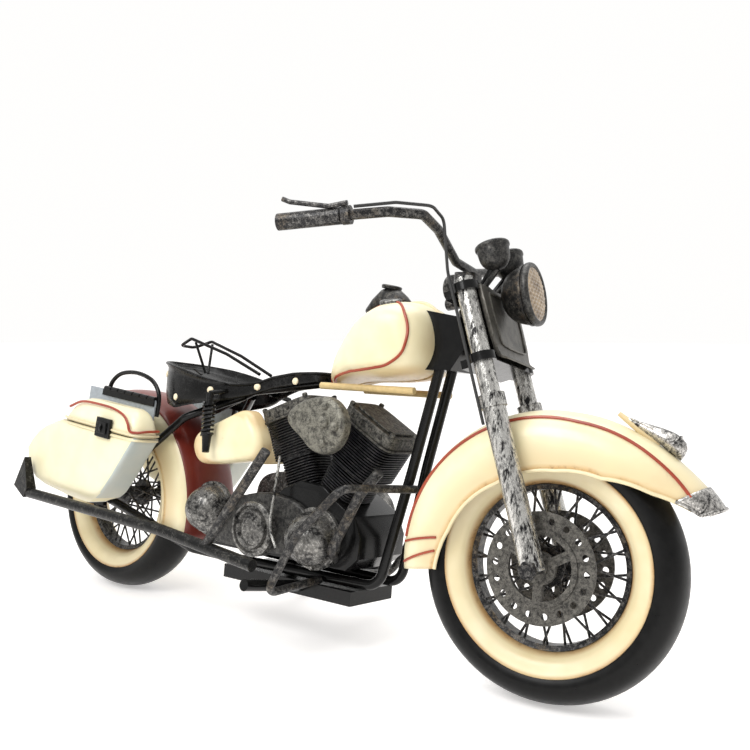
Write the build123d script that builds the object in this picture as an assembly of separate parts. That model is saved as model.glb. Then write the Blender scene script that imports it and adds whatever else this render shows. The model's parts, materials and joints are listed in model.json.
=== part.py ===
"""Hand-made tin motorcycle, an assembly of separate pieces.

The pieces are laid out with the motorcycle upright and steered straight: +X forwards, +Y to the
rider's left, +Z up, rear axle above the origin, ground at z = 0. The last step turns the steering,
leans everything onto the side stand, and puts the origin under the middle of the whole object.
"""
from build123d import *
import os
from math import acos, cos, degrees, radians, sin

os.makedirs("parts", exist_ok=True)

# ---- driving dimensions, millimetres and degrees -------------------------------------------
TYRE_R = 50.0            # outer radius of both tyres
ENGINE_BAY = 149.0       # gap between the two tyres
FRONT_TYRE_HALF = 11.0
REAR_TYRE_HALF = 12.2
TYRE_SEAT_R = 30.6       # where tyre and rim meet
WHITEWALL_R = 36.6
WHITEWALL_T = 1.2
RIM_T = 2.0
RIM_HALF = 3.2
HUB_R = 3.6
HUB_HALF = 8.0
FLANGE_R = 7.2
SPOKE_R = 0.5
SPOKE_PAIRS = 10         # crossed pairs on each side of a wheel
AXLE_R = 2.0
RUNNING = 0.05           # radial clearance of every shaft that turns in a bore
GAP = 0.3                # clearance between pieces of different bodies
DISC_R = 20.5
DISC_T = 1.2
DISC_Y = 13.4            # middle of the brake disc from the wheel's middle plane
RAKE = 19.3
STEER = 8.0              # the fork rests turned this far to the left
LEAN = 7.1               # the motorcycle rests leaning this far to the left
FORK_OFFSET = 4.8        # fork legs ahead of the steering axis
FORK_Y = 21.8
SLIDER_R = 4.4
FORK_TUBE_R = 3.75
COLLAR_R = 5.1
COLLAR_H = 5.0
COLLAR_S = 60.0          # slider top, measured up the leg from the axle
FENDER_HALF = 15.4
FENDER_T = 1.0
FENDER_GAP = 8.5         # crown above the tyre
TUBE_R = 2.2             # main frame tubes
GUARD_R = 1.7
BAR_R = 1.9
GRIP_R = 3.1
PIPE_R = 2.6
HEADER_R = 2.1
TRIM_R = 0.6
BAG_L = 60.0             # along a saddlebag's rim
BAG_W = 18.4
BAG_H = 36.0
BAG_BACK = 29.0          # the bag swells this far behind its rim
BAG_FRONT = 21.0         # and its front edge slopes back this far
BAG_WALL = 1.5
BAG_TILT = 6.0           # bags hang nose-down
BAG_Y = 36.5             # middle of a bag from the middle plane
LID_H = 13.0
HINGE_R = 1.4
HEADLIGHT_R = 11.8
SADDLE_HALF = 24.0

# ---- derived places --------------------------------------------------------------------------
WHEELBASE = 2 * TYRE_R + ENGINE_BAY
ZA = TYRE_R                      # axle height
ZT = 2 * TYRE_R                  # height of the tyres' tops
XF = WHEELBASE                   # front axle
XE = XF - TYRE_R - 74.0          # crankshaft of the engine
FENDER_R = TYRE_R + FENDER_GAP
SIDES = (-1, 1)                  # right, left

FRONT_AXLE = Vector(XF, 0, ZA)
UP_FORK = Vector(-sin(radians(RAKE)), 0, cos(radians(RAKE)))
AHEAD = Vector(cos(radians(RAKE)), 0, sin(radians(RAKE)))
FORK_TOP_S = TYRE_R + 62.0       # top of the fork tubes, up the leg from the axle
LOWER_YOKE_S = FENDER_R + COLLAR_H + 16.0
UPPER_YOKE_S = FORK_TOP_S - 4.0
YOKE_T = 3.4
SHROUD_T = 1.2
SHROUD_AHEAD = FORK_TUBE_R + 2.2
STEM_R = 3.0

PIECES = {}                      # node name -> (solid, body)


def piece(name, body, *solids):
    """Keep one node: one solid, or a group of separate solids."""
    flat = [s for item in solids for s in (item.solids() if hasattr(item, "solids") else [item])]
    shape = flat[0] if len(flat) == 1 else Compound(children=flat)
    PIECES[name] = (shape, body)
    return shape


def leg(s, side=0, ahead=0.0):
    """Point s up the fork from the axle, side -1 right or 1 left, ahead of the leg line."""
    return FRONT_AXLE + UP_FORK * s + AHEAD * ahead + Vector(0, side * FORK_Y, 0)


def stem(s):
    """Point on the steering axis level with s on the fork legs."""
    return leg(s, 0, -FORK_OFFSET)


def rod(a, b, r):
    """Round bar from a to b."""
    a, b = Vector(*a), Vector(*b)
    return Plane(origin=a, z_dir=b - a) * Cylinder(r, (b - a).length, align=(Align.CENTER, Align.CENTER, Align.MIN))


def tube(points, r, bend):
    """Round bar along straight runs joined by tangent arcs of radius bend."""
    points = [Vector(*p) for p in points]
    if len(points) == 2:
        return rod(points[0], points[1], r)
    path = FilletPolyline(*points, radius=bend)
    section = Plane(origin=points[0], z_dir=points[1] - points[0]) * Circle(r)
    return sweep(section, path=path)


def ring(outer, inner, length, centre, axis=(0, 1, 0)):
    """Flat ring or bush about axis, centred."""
    place = Plane(origin=Vector(*centre), z_dir=Vector(*axis))
    return place * (Cylinder(outer, length) - Cylinder(inner, 2 * length))


def disc(r, length, centre, axis=(0, 1, 0)):
    """Round plate about axis, centred."""
    return Plane(origin=Vector(*centre), z_dir=Vector(*axis)) * Cylinder(r, length)


def turned(outline, centre):
    """Solid of revolution about the wheel's axle: outline is (radius, y) points."""
    face = Plane.XY * make_face(Polyline(*[(radius, y) for radius, y in outline], close=True))
    return Pos(*centre) * revolve(face, Axis.Y, 360)


# ---- wheels ----------------------------------------------------------------------------------
def tyre_solid(centre, half):
    """Tyre: round tread, cone side walls where the white ring sits."""
    shoulder = TYRE_R - 8.0
    seat_half = RIM_HALF - 0.6
    with BuildSketch() as section:
        with BuildLine():
            Polyline((TYRE_SEAT_R, seat_half), (WHITEWALL_R, half * 0.68), (shoulder, half))
            ThreePointArc((shoulder, half), (TYRE_R, 0), (shoulder, -half))
            Polyline((shoulder, -half), (WHITEWALL_R, -half * 0.68), (TYRE_SEAT_R, -seat_half))
            Line((TYRE_SEAT_R, -seat_half), (TYRE_SEAT_R, seat_half))
        make_face()
    return Pos(*centre) * revolve(section.sketch, Axis.Y, 360)


def whitewall(centre, half, side):
    """Pale cone ring lying on one side wall."""
    inner = (TYRE_SEAT_R, side * (RIM_HALF - 0.6))
    outer = (WHITEWALL_R, side * half * 0.68)
    lift = side * WHITEWALL_T
    return turned([inner, outer, (outer[0] + 0.3, outer[1] + lift), (inner[0], inner[1] + lift)], centre)


def rim_solid(centre):
    """Dark hoop that the spokes reach."""
    base = TYRE_SEAT_R - RIM_T
    lip = RIM_HALF + 0.8
    outline = [(base, -RIM_HALF), (base, RIM_HALF), (TYRE_SEAT_R, lip), (TYRE_SEAT_R, -lip)]
    return turned(outline, centre)


def hub_solid(centre):
    """Barrel with two spoke flanges and the axle's bore."""
    barrel = disc(HUB_R, 2 * HUB_HALF, centre)
    for side in SIDES:
        flange_y = side * (HUB_HALF - 1.5)
        barrel += disc(FLANGE_R, 1.6, centre + Vector(0, flange_y, 0))
    return barrel - disc(AXLE_R + RUNNING, 4 * HUB_HALF, centre)


def spokes_solid(centre):
    """Crossed wires from the flanges to the rim."""
    wires = []
    start_r = FLANGE_R - 0.3
    end_r = TYRE_SEAT_R - RIM_T + 0.3
    pitch = 360.0 / SPOKE_PAIRS
    for side in SIDES:
        for i in range(SPOKE_PAIRS):
            for turn in SIDES:
                a = radians(i * pitch + turn * 50.0 + side * pitch / 4)
                b = radians(i * pitch + turn * 7.0 + side * pitch / 4)
                y0 = side * (HUB_HALF - 1.5 + turn * 1.2)
                y1 = side * 0.6 * (1 + turn)
                p = centre + Vector(start_r * cos(a), y0, start_r * sin(a))
                q = centre + Vector(end_r * cos(b), y1, end_r * sin(b))
                wires.append(rod(p, q, SPOKE_R))
    return wires


def make_wheel(name, centre, half):
    body = name + "_wheel"
    piece(name + "_tyre", body, tyre_solid(centre, half))
    piece(name + "_whitewalls", body, *[whitewall(centre, half, side) for side in SIDES])
    piece(name + "_rim", body, rim_solid(centre))
    piece(name + "_spokes", body, *spokes_solid(centre))
    piece(name + "_hub", body, hub_solid(centre))


def make_brakes():
    """Drilled brake discs, their three-armed carriers and the ringed hub caps."""
    discs, carriers, caps = [], [], []
    hole_ring_r = DISC_R - 3.3
    hole_r = 1.25
    inner_r = DISC_R - 6.5
    for side in SIDES:
        middle = FRONT_AXLE + Vector(0, side * DISC_Y, 0)
        plate = ring(DISC_R, inner_r, DISC_T, middle)
        for i in range(18):
            a = radians(20.0 * i)
            plate -= disc(hole_r, 4 * DISC_T, middle + Vector(hole_ring_r * cos(a), 0, hole_ring_r * sin(a)))
        discs.append(plate)
        carrier = ring(inner_r, inner_r - 2.2, 2 * DISC_T, middle)
        carrier += ring(6.0, HUB_R - 0.5, 2 * DISC_T, middle)
        for i in range(3):
            a = radians(120.0 * i + 30.0)
            out = Vector(cos(a), 0, sin(a))
            arm = Plane(origin=middle + out * (inner_r / 2 + 1.5), x_dir=out, z_dir=(0, 1, 0))
            carrier += arm * Box(inner_r - 5.0, 3.6, 2 * DISC_T)
        carriers.append(carrier)
        cap_from = HUB_HALF
        cap_to = DISC_Y + 2.2
        cap = disc(HUB_R - 0.5, cap_to - cap_from, FRONT_AXLE + Vector(0, side * (cap_to + cap_from) / 2, 0))
        caps.append(cap - disc(AXLE_R + RUNNING, 8 * HUB_HALF, FRONT_AXLE))
    piece("brake_discs", "front_wheel", *discs)
    piece("disc_carriers", "front_wheel", *carriers)
    piece("hub_caps", "front_wheel", *caps)


# ---- front fork and lights -------------------------------------------------------------------
def make_fork():
    sliders, collars, tubes, nuts = [], [], [], []
    for side in SIDES:
        slider = rod(leg(-1.0, side), leg(COLLAR_S, side), SLIDER_R)
        slider -= disc(AXLE_R, 40.0, leg(0, side))
        sliders.append(slider)
        collars.append(rod(leg(COLLAR_S, side), leg(COLLAR_S + COLLAR_H, side), COLLAR_R)
                       - rod(leg(COLLAR_S - 1, side), leg(COLLAR_S + COLLAR_H + 1, side), FORK_TUBE_R))
        tubes.append(rod(leg(COLLAR_S, side), leg(FORK_TOP_S, side), FORK_TUBE_R))
        nut_y = side * (FORK_Y + SLIDER_R + 1.2)
        nuts.append(Pos(XF, nut_y, ZA) * Rot(90, 0, 0) * extrude(RegularPolygon(3.4, 6), 1.2, both=True)
                    - disc(AXLE_R, 99.0, FRONT_AXLE))
    piece("fork_sliders", "steering", *sliders)
    piece("fork_collars", "steering", *collars)
    piece("fork_tubes", "steering", *tubes)
    axle_half = FORK_Y + SLIDER_R + 3.2
    piece("front_axle", "steering", disc(AXLE_R, 2 * axle_half, FRONT_AXLE))
    piece("axle_nuts", "steering", *nuts)

    for name, s in (("lower_yoke", LOWER_YOKE_S), ("upper_yoke", UPPER_YOKE_S)):
        plate = Plane(origin=leg(s, 0, -FORK_OFFSET / 2), x_dir=AHEAD, z_dir=UP_FORK)
        yoke = plate * Box(FORK_OFFSET + 9.0, 2 * FORK_Y - 2.0, YOKE_T)
        for side in SIDES:
            yoke += rod(leg(s - YOKE_T / 2, side), leg(s + YOKE_T / 2, side), FORK_TUBE_R + 1.4)
            yoke -= rod(leg(s - YOKE_T, side), leg(s + YOKE_T, side), FORK_TUBE_R)
        yoke -= rod(stem(s - YOKE_T), stem(s + YOKE_T), STEM_R)
        piece(name, "steering", yoke)
    piece("steering_stem", "steering", rod(stem(LOWER_YOKE_S - YOKE_T / 2), stem(FORK_TOP_S + 3.0), STEM_R))

    shroud_s = (LOWER_YOKE_S + UPPER_YOKE_S) / 2
    plate = Plane(origin=leg(shroud_s, 0, SHROUD_AHEAD), x_dir=AHEAD, z_dir=UP_FORK)
    height = UPPER_YOKE_S - LOWER_YOKE_S + 2.0
    piece("fork_shroud", "steering", plate * Box(SHROUD_T, 2 * FORK_Y - 2.0, height))


def make_lights():
    tilt = 10.0
    look = Vector(cos(radians(tilt)), 0, sin(radians(tilt)))
    lens_at = leg(FORK_TOP_S, 0, 0) + Vector(22.0, 0, -1.5)
    place = Plane(origin=lens_at, x_dir=(0, 1, 0), z_dir=look)
    depth = 13.0
    with BuildSketch(Plane.XZ) as bowl:
        with BuildLine():
            Line((0, -depth), (0, -2.0))
            Line((0, -2.0), (HEADLIGHT_R, -2.0))
            Line((HEADLIGHT_R, -2.0), (HEADLIGHT_R, -4.0))
            Spline((HEADLIGHT_R, -4.0), (HEADLIGHT_R * 0.72, -depth * 0.74), (0, -depth),
                   tangents=((0, -1), (-1, 0)))
        make_face()
    piece("headlight_bucket", "steering", place * revolve(bowl.sketch, Axis.Z, 360))
    rim = Cylinder(HEADLIGHT_R + 0.9, 2.6) - Cylinder(HEADLIGHT_R - 0.8, 5.0)
    piece("headlight_rim", "steering", place * Pos(0, 0, -0.7) * rim)
    piece("headlight_lens", "steering", place * Pos(0, 0, -1.1) * Cylinder(HEADLIGHT_R - 0.9, 1.8))
    bracket_from = leg(UPPER_YOKE_S - 5.0, 0, SHROUD_AHEAD + SHROUD_T + 1.4)
    bracket = rod(bracket_from, lens_at - look * (depth - 1.0), 2.2)
    piece("headlight_bracket", "steering", bracket - PIECES["headlight_bucket"][0] - PIECES["fork_shroud"][0])

    housings, faces, stems = [], [], []
    for side in SIDES:
        at = leg(FORK_TOP_S, 0, 6.0) + Vector(0, side * 8.2, 12.5)
        lie = Plane(origin=at, z_dir=(-0.35, 0, 1.0))
        cup = Cylinder(6.6, 5.0) + Pos(0, 0, -2.5) * Sphere(6.6, arc_size1=-90, arc_size2=0)
        cup -= Pos(0, 0, 2.5) * Cylinder(5.6, 1.6)
        housings.append(lie * cup)
        faces.append(lie * Pos(0, 0, 2.0) * Cylinder(5.6, 0.6))
        foot = leg(UPPER_YOKE_S + YOKE_T / 2, 0, -1.0) + Vector(0, side * 6.0, 0)
        stems.append(rod(foot, at + Vector(0, 0, -7.5), 1.2))
    piece("gauge_housings", "steering", *housings)
    piece("gauge_faces", "steering", *faces)
    for name in ("upper_yoke", "gauge_housings", "fork_shroud"):
        stems = [stem_rod - PIECES[name][0] for stem_rod in stems]
    piece("gauge_stems", "steering", *stems)


# ---- handlebar -------------------------------------------------------------------------------
BAR_REST = stem(FORK_TOP_S + 6.5)
BAR_HALF = [(0, 0, 0), (-2.6, 10, 5.2), (0.4, 35, 11.4), (1.6, 51, 12.6), (-6.5, 62.5, 10.6), (-17.0, 70.5, 7.6),
            (-43.0, 75.4, 4.8)]


def bar_point(x, y, z):
    return BAR_REST + Vector(x, y, z)


def make_handlebar():
    right = [bar_point(x, -y, z) for x, y, z in reversed(BAR_HALF[1:])]
    left = [bar_point(x, y, z) for x, y, z in BAR_HALF[1:]]
    piece("handlebar", "steering", tube(right + left, BAR_R, 5.0))
    clamp = Pos(*BAR_REST) * Pos(-1.0, 0, -0.6) * Box(9.0, 11.0, 5.6)
    clamp = fillet(clamp.edges().filter_by(Axis.Z), 2.0)
    bar_hole = PIECES["handlebar"][0]
    piece("bar_clamp", "steering", clamp - bar_hole - rod(stem(FORK_TOP_S - 9), stem(FORK_TOP_S + 3.0), STEM_R))

    grips, perches, levers = [], [], []
    for side in SIDES:
        inner = bar_point(*[c * (side if i == 1 else 1) for i, c in enumerate(BAR_HALF[-2])])
        end = bar_point(*[c * (side if i == 1 else 1) for i, c in enumerate(BAR_HALF[-1])])
        along = (end - inner).normalized()
        start = inner + along * 3.5
        grips.append(rod(start, end + along * 1.2, GRIP_R) - rod(start - along, end, BAR_R))
        perch_at = start - along * 2.2
        perch = rod(perch_at - along * 1.5, perch_at + along * 1.5, 3.4)
        perches.append(perch - rod(perch_at - along * 9, perch_at + along * 9, BAR_R))
        out = Vector(0, side * 0.5, 0.86).normalized()
        pivot = perch_at + out * 4.4
        tip = pivot + along * 24.0 + Vector(3.0, 0, 2.6)
        levers.append(tube([pivot - along * 1.0, pivot + along * 8.0 + Vector(2.2, 0, -0.6), tip, tip + along * 3.0 + Vector(0, 0, 1.4)],
                           0.9, 3.0))
    piece("grips", "steering", *grips)
    piece("lever_perches", "steering", *perches)
    piece("hand_levers", "steering", *levers)

    glass_at = bar_point(-36.0, 62.6, 10.0)
    mirror_axis = Vector(1.0, -0.25, 0.0).normalized()
    shell = disc(7.2, 2.4, glass_at + mirror_axis * 0.2, mirror_axis)
    shell = shell - disc(6.4, 1.2, glass_at - mirror_axis * 0.9, mirror_axis)
    piece("mirror_shell", "steering", shell)
    piece("mirror_glass", "steering", disc(6.3, 0.5, glass_at - mirror_axis * 0.6, mirror_axis))
    foot = bar_point(-17.5, 70.6, 9.3)
    mirror_stem = tube([foot, foot + Vector(-6, -3, 5.5), glass_at + mirror_axis * 1.4 + Vector(1.2, 0, 0)], 0.8, 3.0)
    for other in ("handlebar", "grips", "lever_perches", "hand_levers"):
        mirror_stem = mirror_stem - PIECES[other][0]
    piece("mirror_stem", "steering", mirror_stem)


def make_cables():
    """Brake hose clipped along the bar and down the right fork leg."""
    behind = -FORK_TUBE_R
    outwards = Vector(0, -5.2, 0)
    route = [bar_point(-16.0, -70.5, 10.6), bar_point(-4.0, -62.0, 14.0), bar_point(5.0, -51.0, 15.6),
             bar_point(3.8, -38.0, 14.4), leg(FORK_TOP_S + 3.0, -1, behind) + outwards,
             leg(COLLAR_S - 6.0, -1, behind) + outwards]
    piece("brake_hose", "steering", tube(route, TRIM_R, 6.0))


# ---- fenders ---------------------------------------------------------------------------------
def fender_shell(centre, crown_r, skirt_r, half, start, end):
    """Arched channel over a wheel: a crown and two side skirts, from start to end degrees."""
    bead = half * 0.45
    with BuildSketch() as section:
        with BuildLine():
            Polyline((skirt_r, half), (crown_r - bead, half))
            ThreePointArc((crown_r - bead, half), (crown_r, 0), (crown_r - bead, -half))
            Polyline((crown_r - bead, -half), (skirt_r, -half), (skirt_r, -half + FENDER_T),
                     (crown_r - bead, -half + FENDER_T))
            ThreePointArc((crown_r - bead, -half + FENDER_T), (crown_r - FENDER_T, 0), (crown_r - bead, half - FENDER_T))
            Polyline((crown_r - bead, half - FENDER_T), (skirt_r, half - FENDER_T), (skirt_r, half))
        make_face()
    shell = revolve(section.sketch, Axis((0, 0, 0), (0, -1, 0)), end - start)
    return Pos(*centre) * Rot(0, -start, 0) * shell


def make_front_fender():
    skirt = 36.0
    shell = fender_shell(FRONT_AXLE, FENDER_R + 1.0, skirt, FENDER_HALF, 28.0, 190.0)
    slope = Pos(XF + 30.0, 0, ZA + skirt - 4.5) * Rot(0, 12.0, 0) * Pos(10.0, 0, -40.0) * Box(70.0, 60.0, 80.0)
    piece("front_fender", "steering", shell - slope)
    wires = []
    for side in SIDES:
        y = side * (FENDER_HALF + TRIM_R)
        path = CenterArc((0, 0), FENDER_R - 5.4, 34.0, 142.0)
        flat = Plane(origin=(XF, y, ZA), x_dir=(1, 0, 0), z_dir=(0, -1, 0)) * path
        section = Plane(origin=flat @ 0, z_dir=flat % 0) * Circle(TRIM_R)
        wires.append(sweep(section, path=flat))
        for angle in (177.5, 186.0):
            a, b = radians(angle - 180.0), radians(angle - 180.0)
            r0, r1 = FENDER_R - 5.0, skirt + 4.5
            outer_end = (XF - r0 * cos(a), y, ZA - r0 * sin(a))
            inner_end = (XF - r1 * cos(b), y, ZA - r1 * sin(b) + 2.0)
            wires.append(rod(outer_end, inner_end, TRIM_R))
    piece("front_fender_trim", "steering", *wires)

    wrap = FENDER_T + 0.1
    cap = fender_shell(FRONT_AXLE, FENDER_R + 1.0 + wrap, FENDER_R - 8.0, FENDER_HALF + wrap, 26.5, 34.0)
    piece("fender_tip", "steering", cap)
    lamp_r = 3.8
    lamp_out = FENDER_R + 1.4 + lamp_r
    lamp = Pos(*FRONT_AXLE) * Rot(0, -56.0, 0) * Pos(lamp_out, 0, 0) * spindle(lamp_r, 13.0)
    piece("fender_lamp", "steering", lamp)


def spindle(r, half_length):
    """Pointed bullet about Z, widest in the middle."""
    with BuildSketch(Plane.XZ) as section:
        with BuildLine():
            Spline((0, -half_length), (r, 0), (0, half_length), tangents=((1, 0.4), (-1, 0.4)))
            Line((0, half_length), (0, -half_length))
        make_face()
    return revolve(section.sketch, Axis.Z, 360)


REAR_FENDER_MID = Vector(5.0, 0, ZA - 4.0)
REAR_FENDER_R = FENDER_R + 2.0


def make_rear_fender():
    """Deep fender whose arch stands off the tyre in front and lies close over it behind."""
    half = FENDER_HALF + 1.0
    shell = fender_shell(REAR_FENDER_MID, REAR_FENDER_R, 40.5, half, -12.0, 150.0)
    piece("rear_fender", "frame", shell)


# ---- frame -----------------------------------------------------------------------------------
NECK_LOW = stem(LOWER_YOKE_S + YOKE_T / 2 + GAP)
NECK_HIGH = stem(UPPER_YOKE_S - YOKE_T / 2 - GAP)
RAIL_Z = ZA - 20.0
RAIL_Y = 13.0
SEAT_POST = Vector(XE - 38.0, 0, ZT + 9.5)
NECK_R = 7.6
GUSSET_LOW = stem(LOWER_YOKE_S) + Vector(-29.5, 0, -1.5)    # rear lower corner of the neck's box
GUSSET_HALF = 8.0


def make_frame():
    neck_solid = rod(NECK_LOW, NECK_HIGH, NECK_R)
    corners = ((0, 0), (15.0, 0), (21.0, 9.0), (17.0, 22.0), (0, 25.0))
    gusset = [GUSSET_LOW + Vector(dx, 0, dz) for dx, dz in corners]
    neck_solid += extrude(make_face(Polyline(*gusset, close=True)), GUSSET_HALF, dir=(0, 1, 0), both=True)
    bore = rod(NECK_LOW - UP_FORK * 9, NECK_HIGH + UP_FORK * 9, STEM_R + RUNNING)
    piece("steering_neck", "frame", neck_solid - bore)
    backbone_points = [GUSSET_LOW + Vector(4.0, 0, 10.0), (XE + 20.0, 0, ZT + 16.5), SEAT_POST, (XE - 72.0, 0, ZT - 4.0)]
    backbone = tube(backbone_points, TUBE_R, 14.0)
    piece("backbone", "frame", backbone - neck_solid)
    cradle = []
    for side in SIDES:
        y = side * RAIL_Y
        top = GUSSET_LOW + Vector(9.0, side * 5.0, 5.0)
        points = [top, (XE + 62.0, side * 5.2, ZA + 30.0), (XE + 51.0, side * 8.0, RAIL_Z), (XE - 35.0, y, RAIL_Z),
                  (XE - 52.0, side * 20.0, RAIL_Z + 2.0), (-4.0, side * 19.5, ZA)]
        cradle.append(tube(points, TUBE_R, 8.0) - neck_solid - disc(AXLE_R, 99.0, (0, 0, ZA)))
    piece("cradle_tubes", "frame", *cradle)
    stays = []
    for side in SIDES:
        stay_points = [(XE - 42.0, side * 2.6, ZT + 6.5), (XE - 66.0, side * 19.0, ZT - 6.0),
                       (4.0, side * 19.5, ZA + 5.0)]
        stay = tube(stay_points, TUBE_R - 0.3, 9.0)
        stays.append(stay - backbone - cradle[len(stays)])
    piece("rear_stays", "frame", *stays)
    plates, nuts = [], []
    for side in SIDES:
        plate = Pos(0, side * 23.0, ZA) * Box(14.0, 2.4, 11.0)
        plates.append(plate - disc(AXLE_R, 99.0, (0, 0, ZA)) - cradle[len(plates)] - stays[len(plates)])
        nut = Pos(0, side * 25.4, ZA) * Rot(90, 0, 0) * extrude(RegularPolygon(3.4, 6), 1.2, both=True)
        nuts.append(nut - disc(AXLE_R, 99.0, (0, 0, ZA)))
    piece("axle_plates", "frame", *plates)
    piece("rear_axle", "frame", disc(AXLE_R, 53.4, (0, 0, ZA)))
    piece("rear_axle_nuts", "frame", *nuts)
    pad = Pos(XE + 4.0, 0, RAIL_Z - 6.0) * Box(76.0, 30.0, 6.0)
    piece("skid_plate", "frame", pad)
    pegs = []
    for side in SIDES:
        pegs.append(rod((XE + 14.0, side * 15.0, RAIL_Z - 5.0), (XE + 14.0, side * 50.0, RAIL_Z - 1.0), 2.4))
    piece("foot_pegs", "frame", *pegs)


def make_guards():
    """Crash bars: one bent bar on each side, joined to the front tubes."""
    guards = []
    for side in SIDES:
        points = [(XE + 66.0, side * 7.6, ZA + 22.5), (XE + 56.0, side * 44.0, ZA + 22.5),
                  (XE + 35.0, side * 44.0, ZA + 2.0), (XE + 21.0, side * 44.0, RAIL_Z - 4.0),
                  (XE + 23.0, side * RAIL_Y, RAIL_Z - 1.0)]
        guards.append(tube(points, GUARD_R, 5.0) - PIECES["cradle_tubes"][0])
    piece("crash_bars", "frame", *guards)


# ---- engine ----------------------------------------------------------------------------------
CYL_REAR_TILT = -20.0
CYL_FRONT_TILT = 30.0
CRANK = Vector(XE + 16.0, -4.0, ZA - 2.0)
CASE_HALF = 17.0


def cylinder_place(tilt, height):
    """Frame of a cylinder: its axis leans by tilt about the crankshaft."""
    axis = Vector(sin(radians(tilt)), 0, cos(radians(tilt)))
    return Plane(origin=CRANK + axis * height, x_dir=(cos(radians(tilt)), 0, -sin(radians(tilt))), z_dir=axis)


def make_engine():
    case = Pos(XE, 0, ZA - 2.0) * Box(92.0, 2 * CASE_HALF, 26.0)
    case += Pos(CRANK.X, 0, ZA) * Rot(90, 0, 0) * Cylinder(21.0, 2 * CASE_HALF)
    case = case - Pos(XE + 2.0, 0, ZA - 27.0) * Box(140.0, 60.0, 20.0)
    piece("engine_case", "frame", case)
    face = -CASE_HALF
    piece("gearbox_dome", "frame", dome((XE - 42.0, face, ZA + 2.0), 11.5, 14.0))
    piece("cam_dome", "frame", dome((XE + 26.0, face, ZA - 3.0), 12.0, 16.0))
    outer = disc(12.5, 7.0, (XE - 12.0, face - 3.5, ZA - 5.0))
    outer = outer - disc(10.6, 1.4, (XE - 12.0, face - 7.0, ZA - 5.0))
    outer = outer + disc(8.6, 8.0, (XE - 12.0, face - 4.0, ZA - 5.0))
    piece("timing_cover", "frame", outer)
    primary = Rot(90, 0, 0) * extrude(SlotCenterToCenter(52.0, 34.0), 6.0, both=True)
    primary = Pos(XE - 8.0, CASE_HALF + 6.0, ZA + 5.0) * primary
    piece("primary_cover", "frame", fillet(primary.edges(), 2.0))

    fin_half = 12.0
    for name, tilt in (("rear", CYL_REAR_TILT), ("front", CYL_FRONT_TILT)):
        barrel = cylinder_place(tilt, 17.0 + 18.5) * Box(17.0, 2 * fin_half - 6.0, 34.0)
        for i in range(5):
            barrel += cylinder_place(tilt, 23.0 + 2.6 * i) * Box(20.0, 2 * fin_half - 3.0, 1.1)
        for i in range(6):
            barrel += cylinder_place(tilt, 36.0 + 2.6 * i) * Box(27.0 + 0.4 * i, 2 * fin_half, 1.1)
        piece(name + "_cylinder", "frame", barrel - case)
        piece(name + "_rocker_cover", "frame", cylinder_place(tilt, 56.5) * Box(31.0, 2 * fin_half + 2.0, 8.0))


def dome(at, r, bulge):
    """Round cover swelling outwards to the right."""
    with BuildSketch() as section:
        with BuildLine():
            Polyline((0, -bulge), (0, 0), (r, 0))
            Spline((r, 0), (r * 0.74, -bulge * 0.72), (0, -bulge), tangents=((0, -1), (-1, 0)))
        make_face()
    return Pos(*at) * revolve(section.sketch, Axis.Y, 360)


def make_air_cleaner():
    at = Vector(XE + 31.0, 0, ZA + 46.0)
    plate_y = -34.0
    outline = [at + Vector(dx, plate_y, dz) for dx, dz in ((-16.0, 10.0), (7.0, 14.5), (17.0, 3.0), (6.0, -14.5))]
    face = make_face(Polyline(*outline, close=True))
    plate = extrude(face, 5.0, dir=(0, 1, 0))
    plate = fillet(plate.edges().filter_by(Axis.Y), 5.5)
    duct = disc(5.0, 20.0, at + Vector(-1.0, plate_y + 15.0, -2.0))
    for name in ("rear", "front"):
        duct = duct - PIECES[name + "_cylinder"][0] - PIECES[name + "_rocker_cover"][0]
    piece("air_cleaner", "frame", plate)
    piece("intake_duct", "frame", duct)
    screws = [disc(r, 1.6, at + Vector(dx, plate_y - 0.8, dz))
              for dx, dz, r in ((-9.0, 6.5, 1.6), (-1.0, -0.5, 2.8), (4.5, -2.5, 2.0), (3.5, 10.0, 1.6),
                                (3.5, -9.5, 1.6), (11.5, 2.5, 1.6))]
    piece("cleaner_screws", "frame", *screws)


def make_exhaust():
    y = -50.0
    tail = Vector(-20.0, y, ZA - 1.2)
    low = [(XE + 18.0, y, ZA - 12.5), (XE - 40.0, y, ZA - 6.0), tail]
    piece("exhaust_pipe", "frame", tube(low, PIPE_R, 30.0))
    back = Vector(-1.0, 0, 0.5).normalized()
    wide = loft([Plane(origin=tail, x_dir=(0, 1, 0), z_dir=back) * Rectangle(5.4, 5.4),
                 Plane(origin=tail + Vector(-8.5, 0, 10.5), x_dir=(0, 1, 0), z_dir=back) * Rectangle(3.6, 17.0)])
    piece("fishtail", "frame", wide - PIECES["exhaust_pipe"][0])
    rear = rod((XE + 20.3, y, ZA + 34.0), (XE - 11.0, y, ZA - 9.5), HEADER_R)
    front = tube([(XE + 59.1, -24.5, ZA + 29.0), (XE + 50.0, -24.5, ZA + 18.8), (XE + 37.5, -24.5, ZA - 5.5),
                  (XE + 33.0, 1.0 - CASE_HALF, ZA - 10.5)], HEADER_R, 5.0)
    piece("rear_header", "frame", rear - PIECES["exhaust_pipe"][0])
    piece("front_header", "frame", front - PIECES["engine_case"][0] - PIECES["cam_dome"][0])


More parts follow.
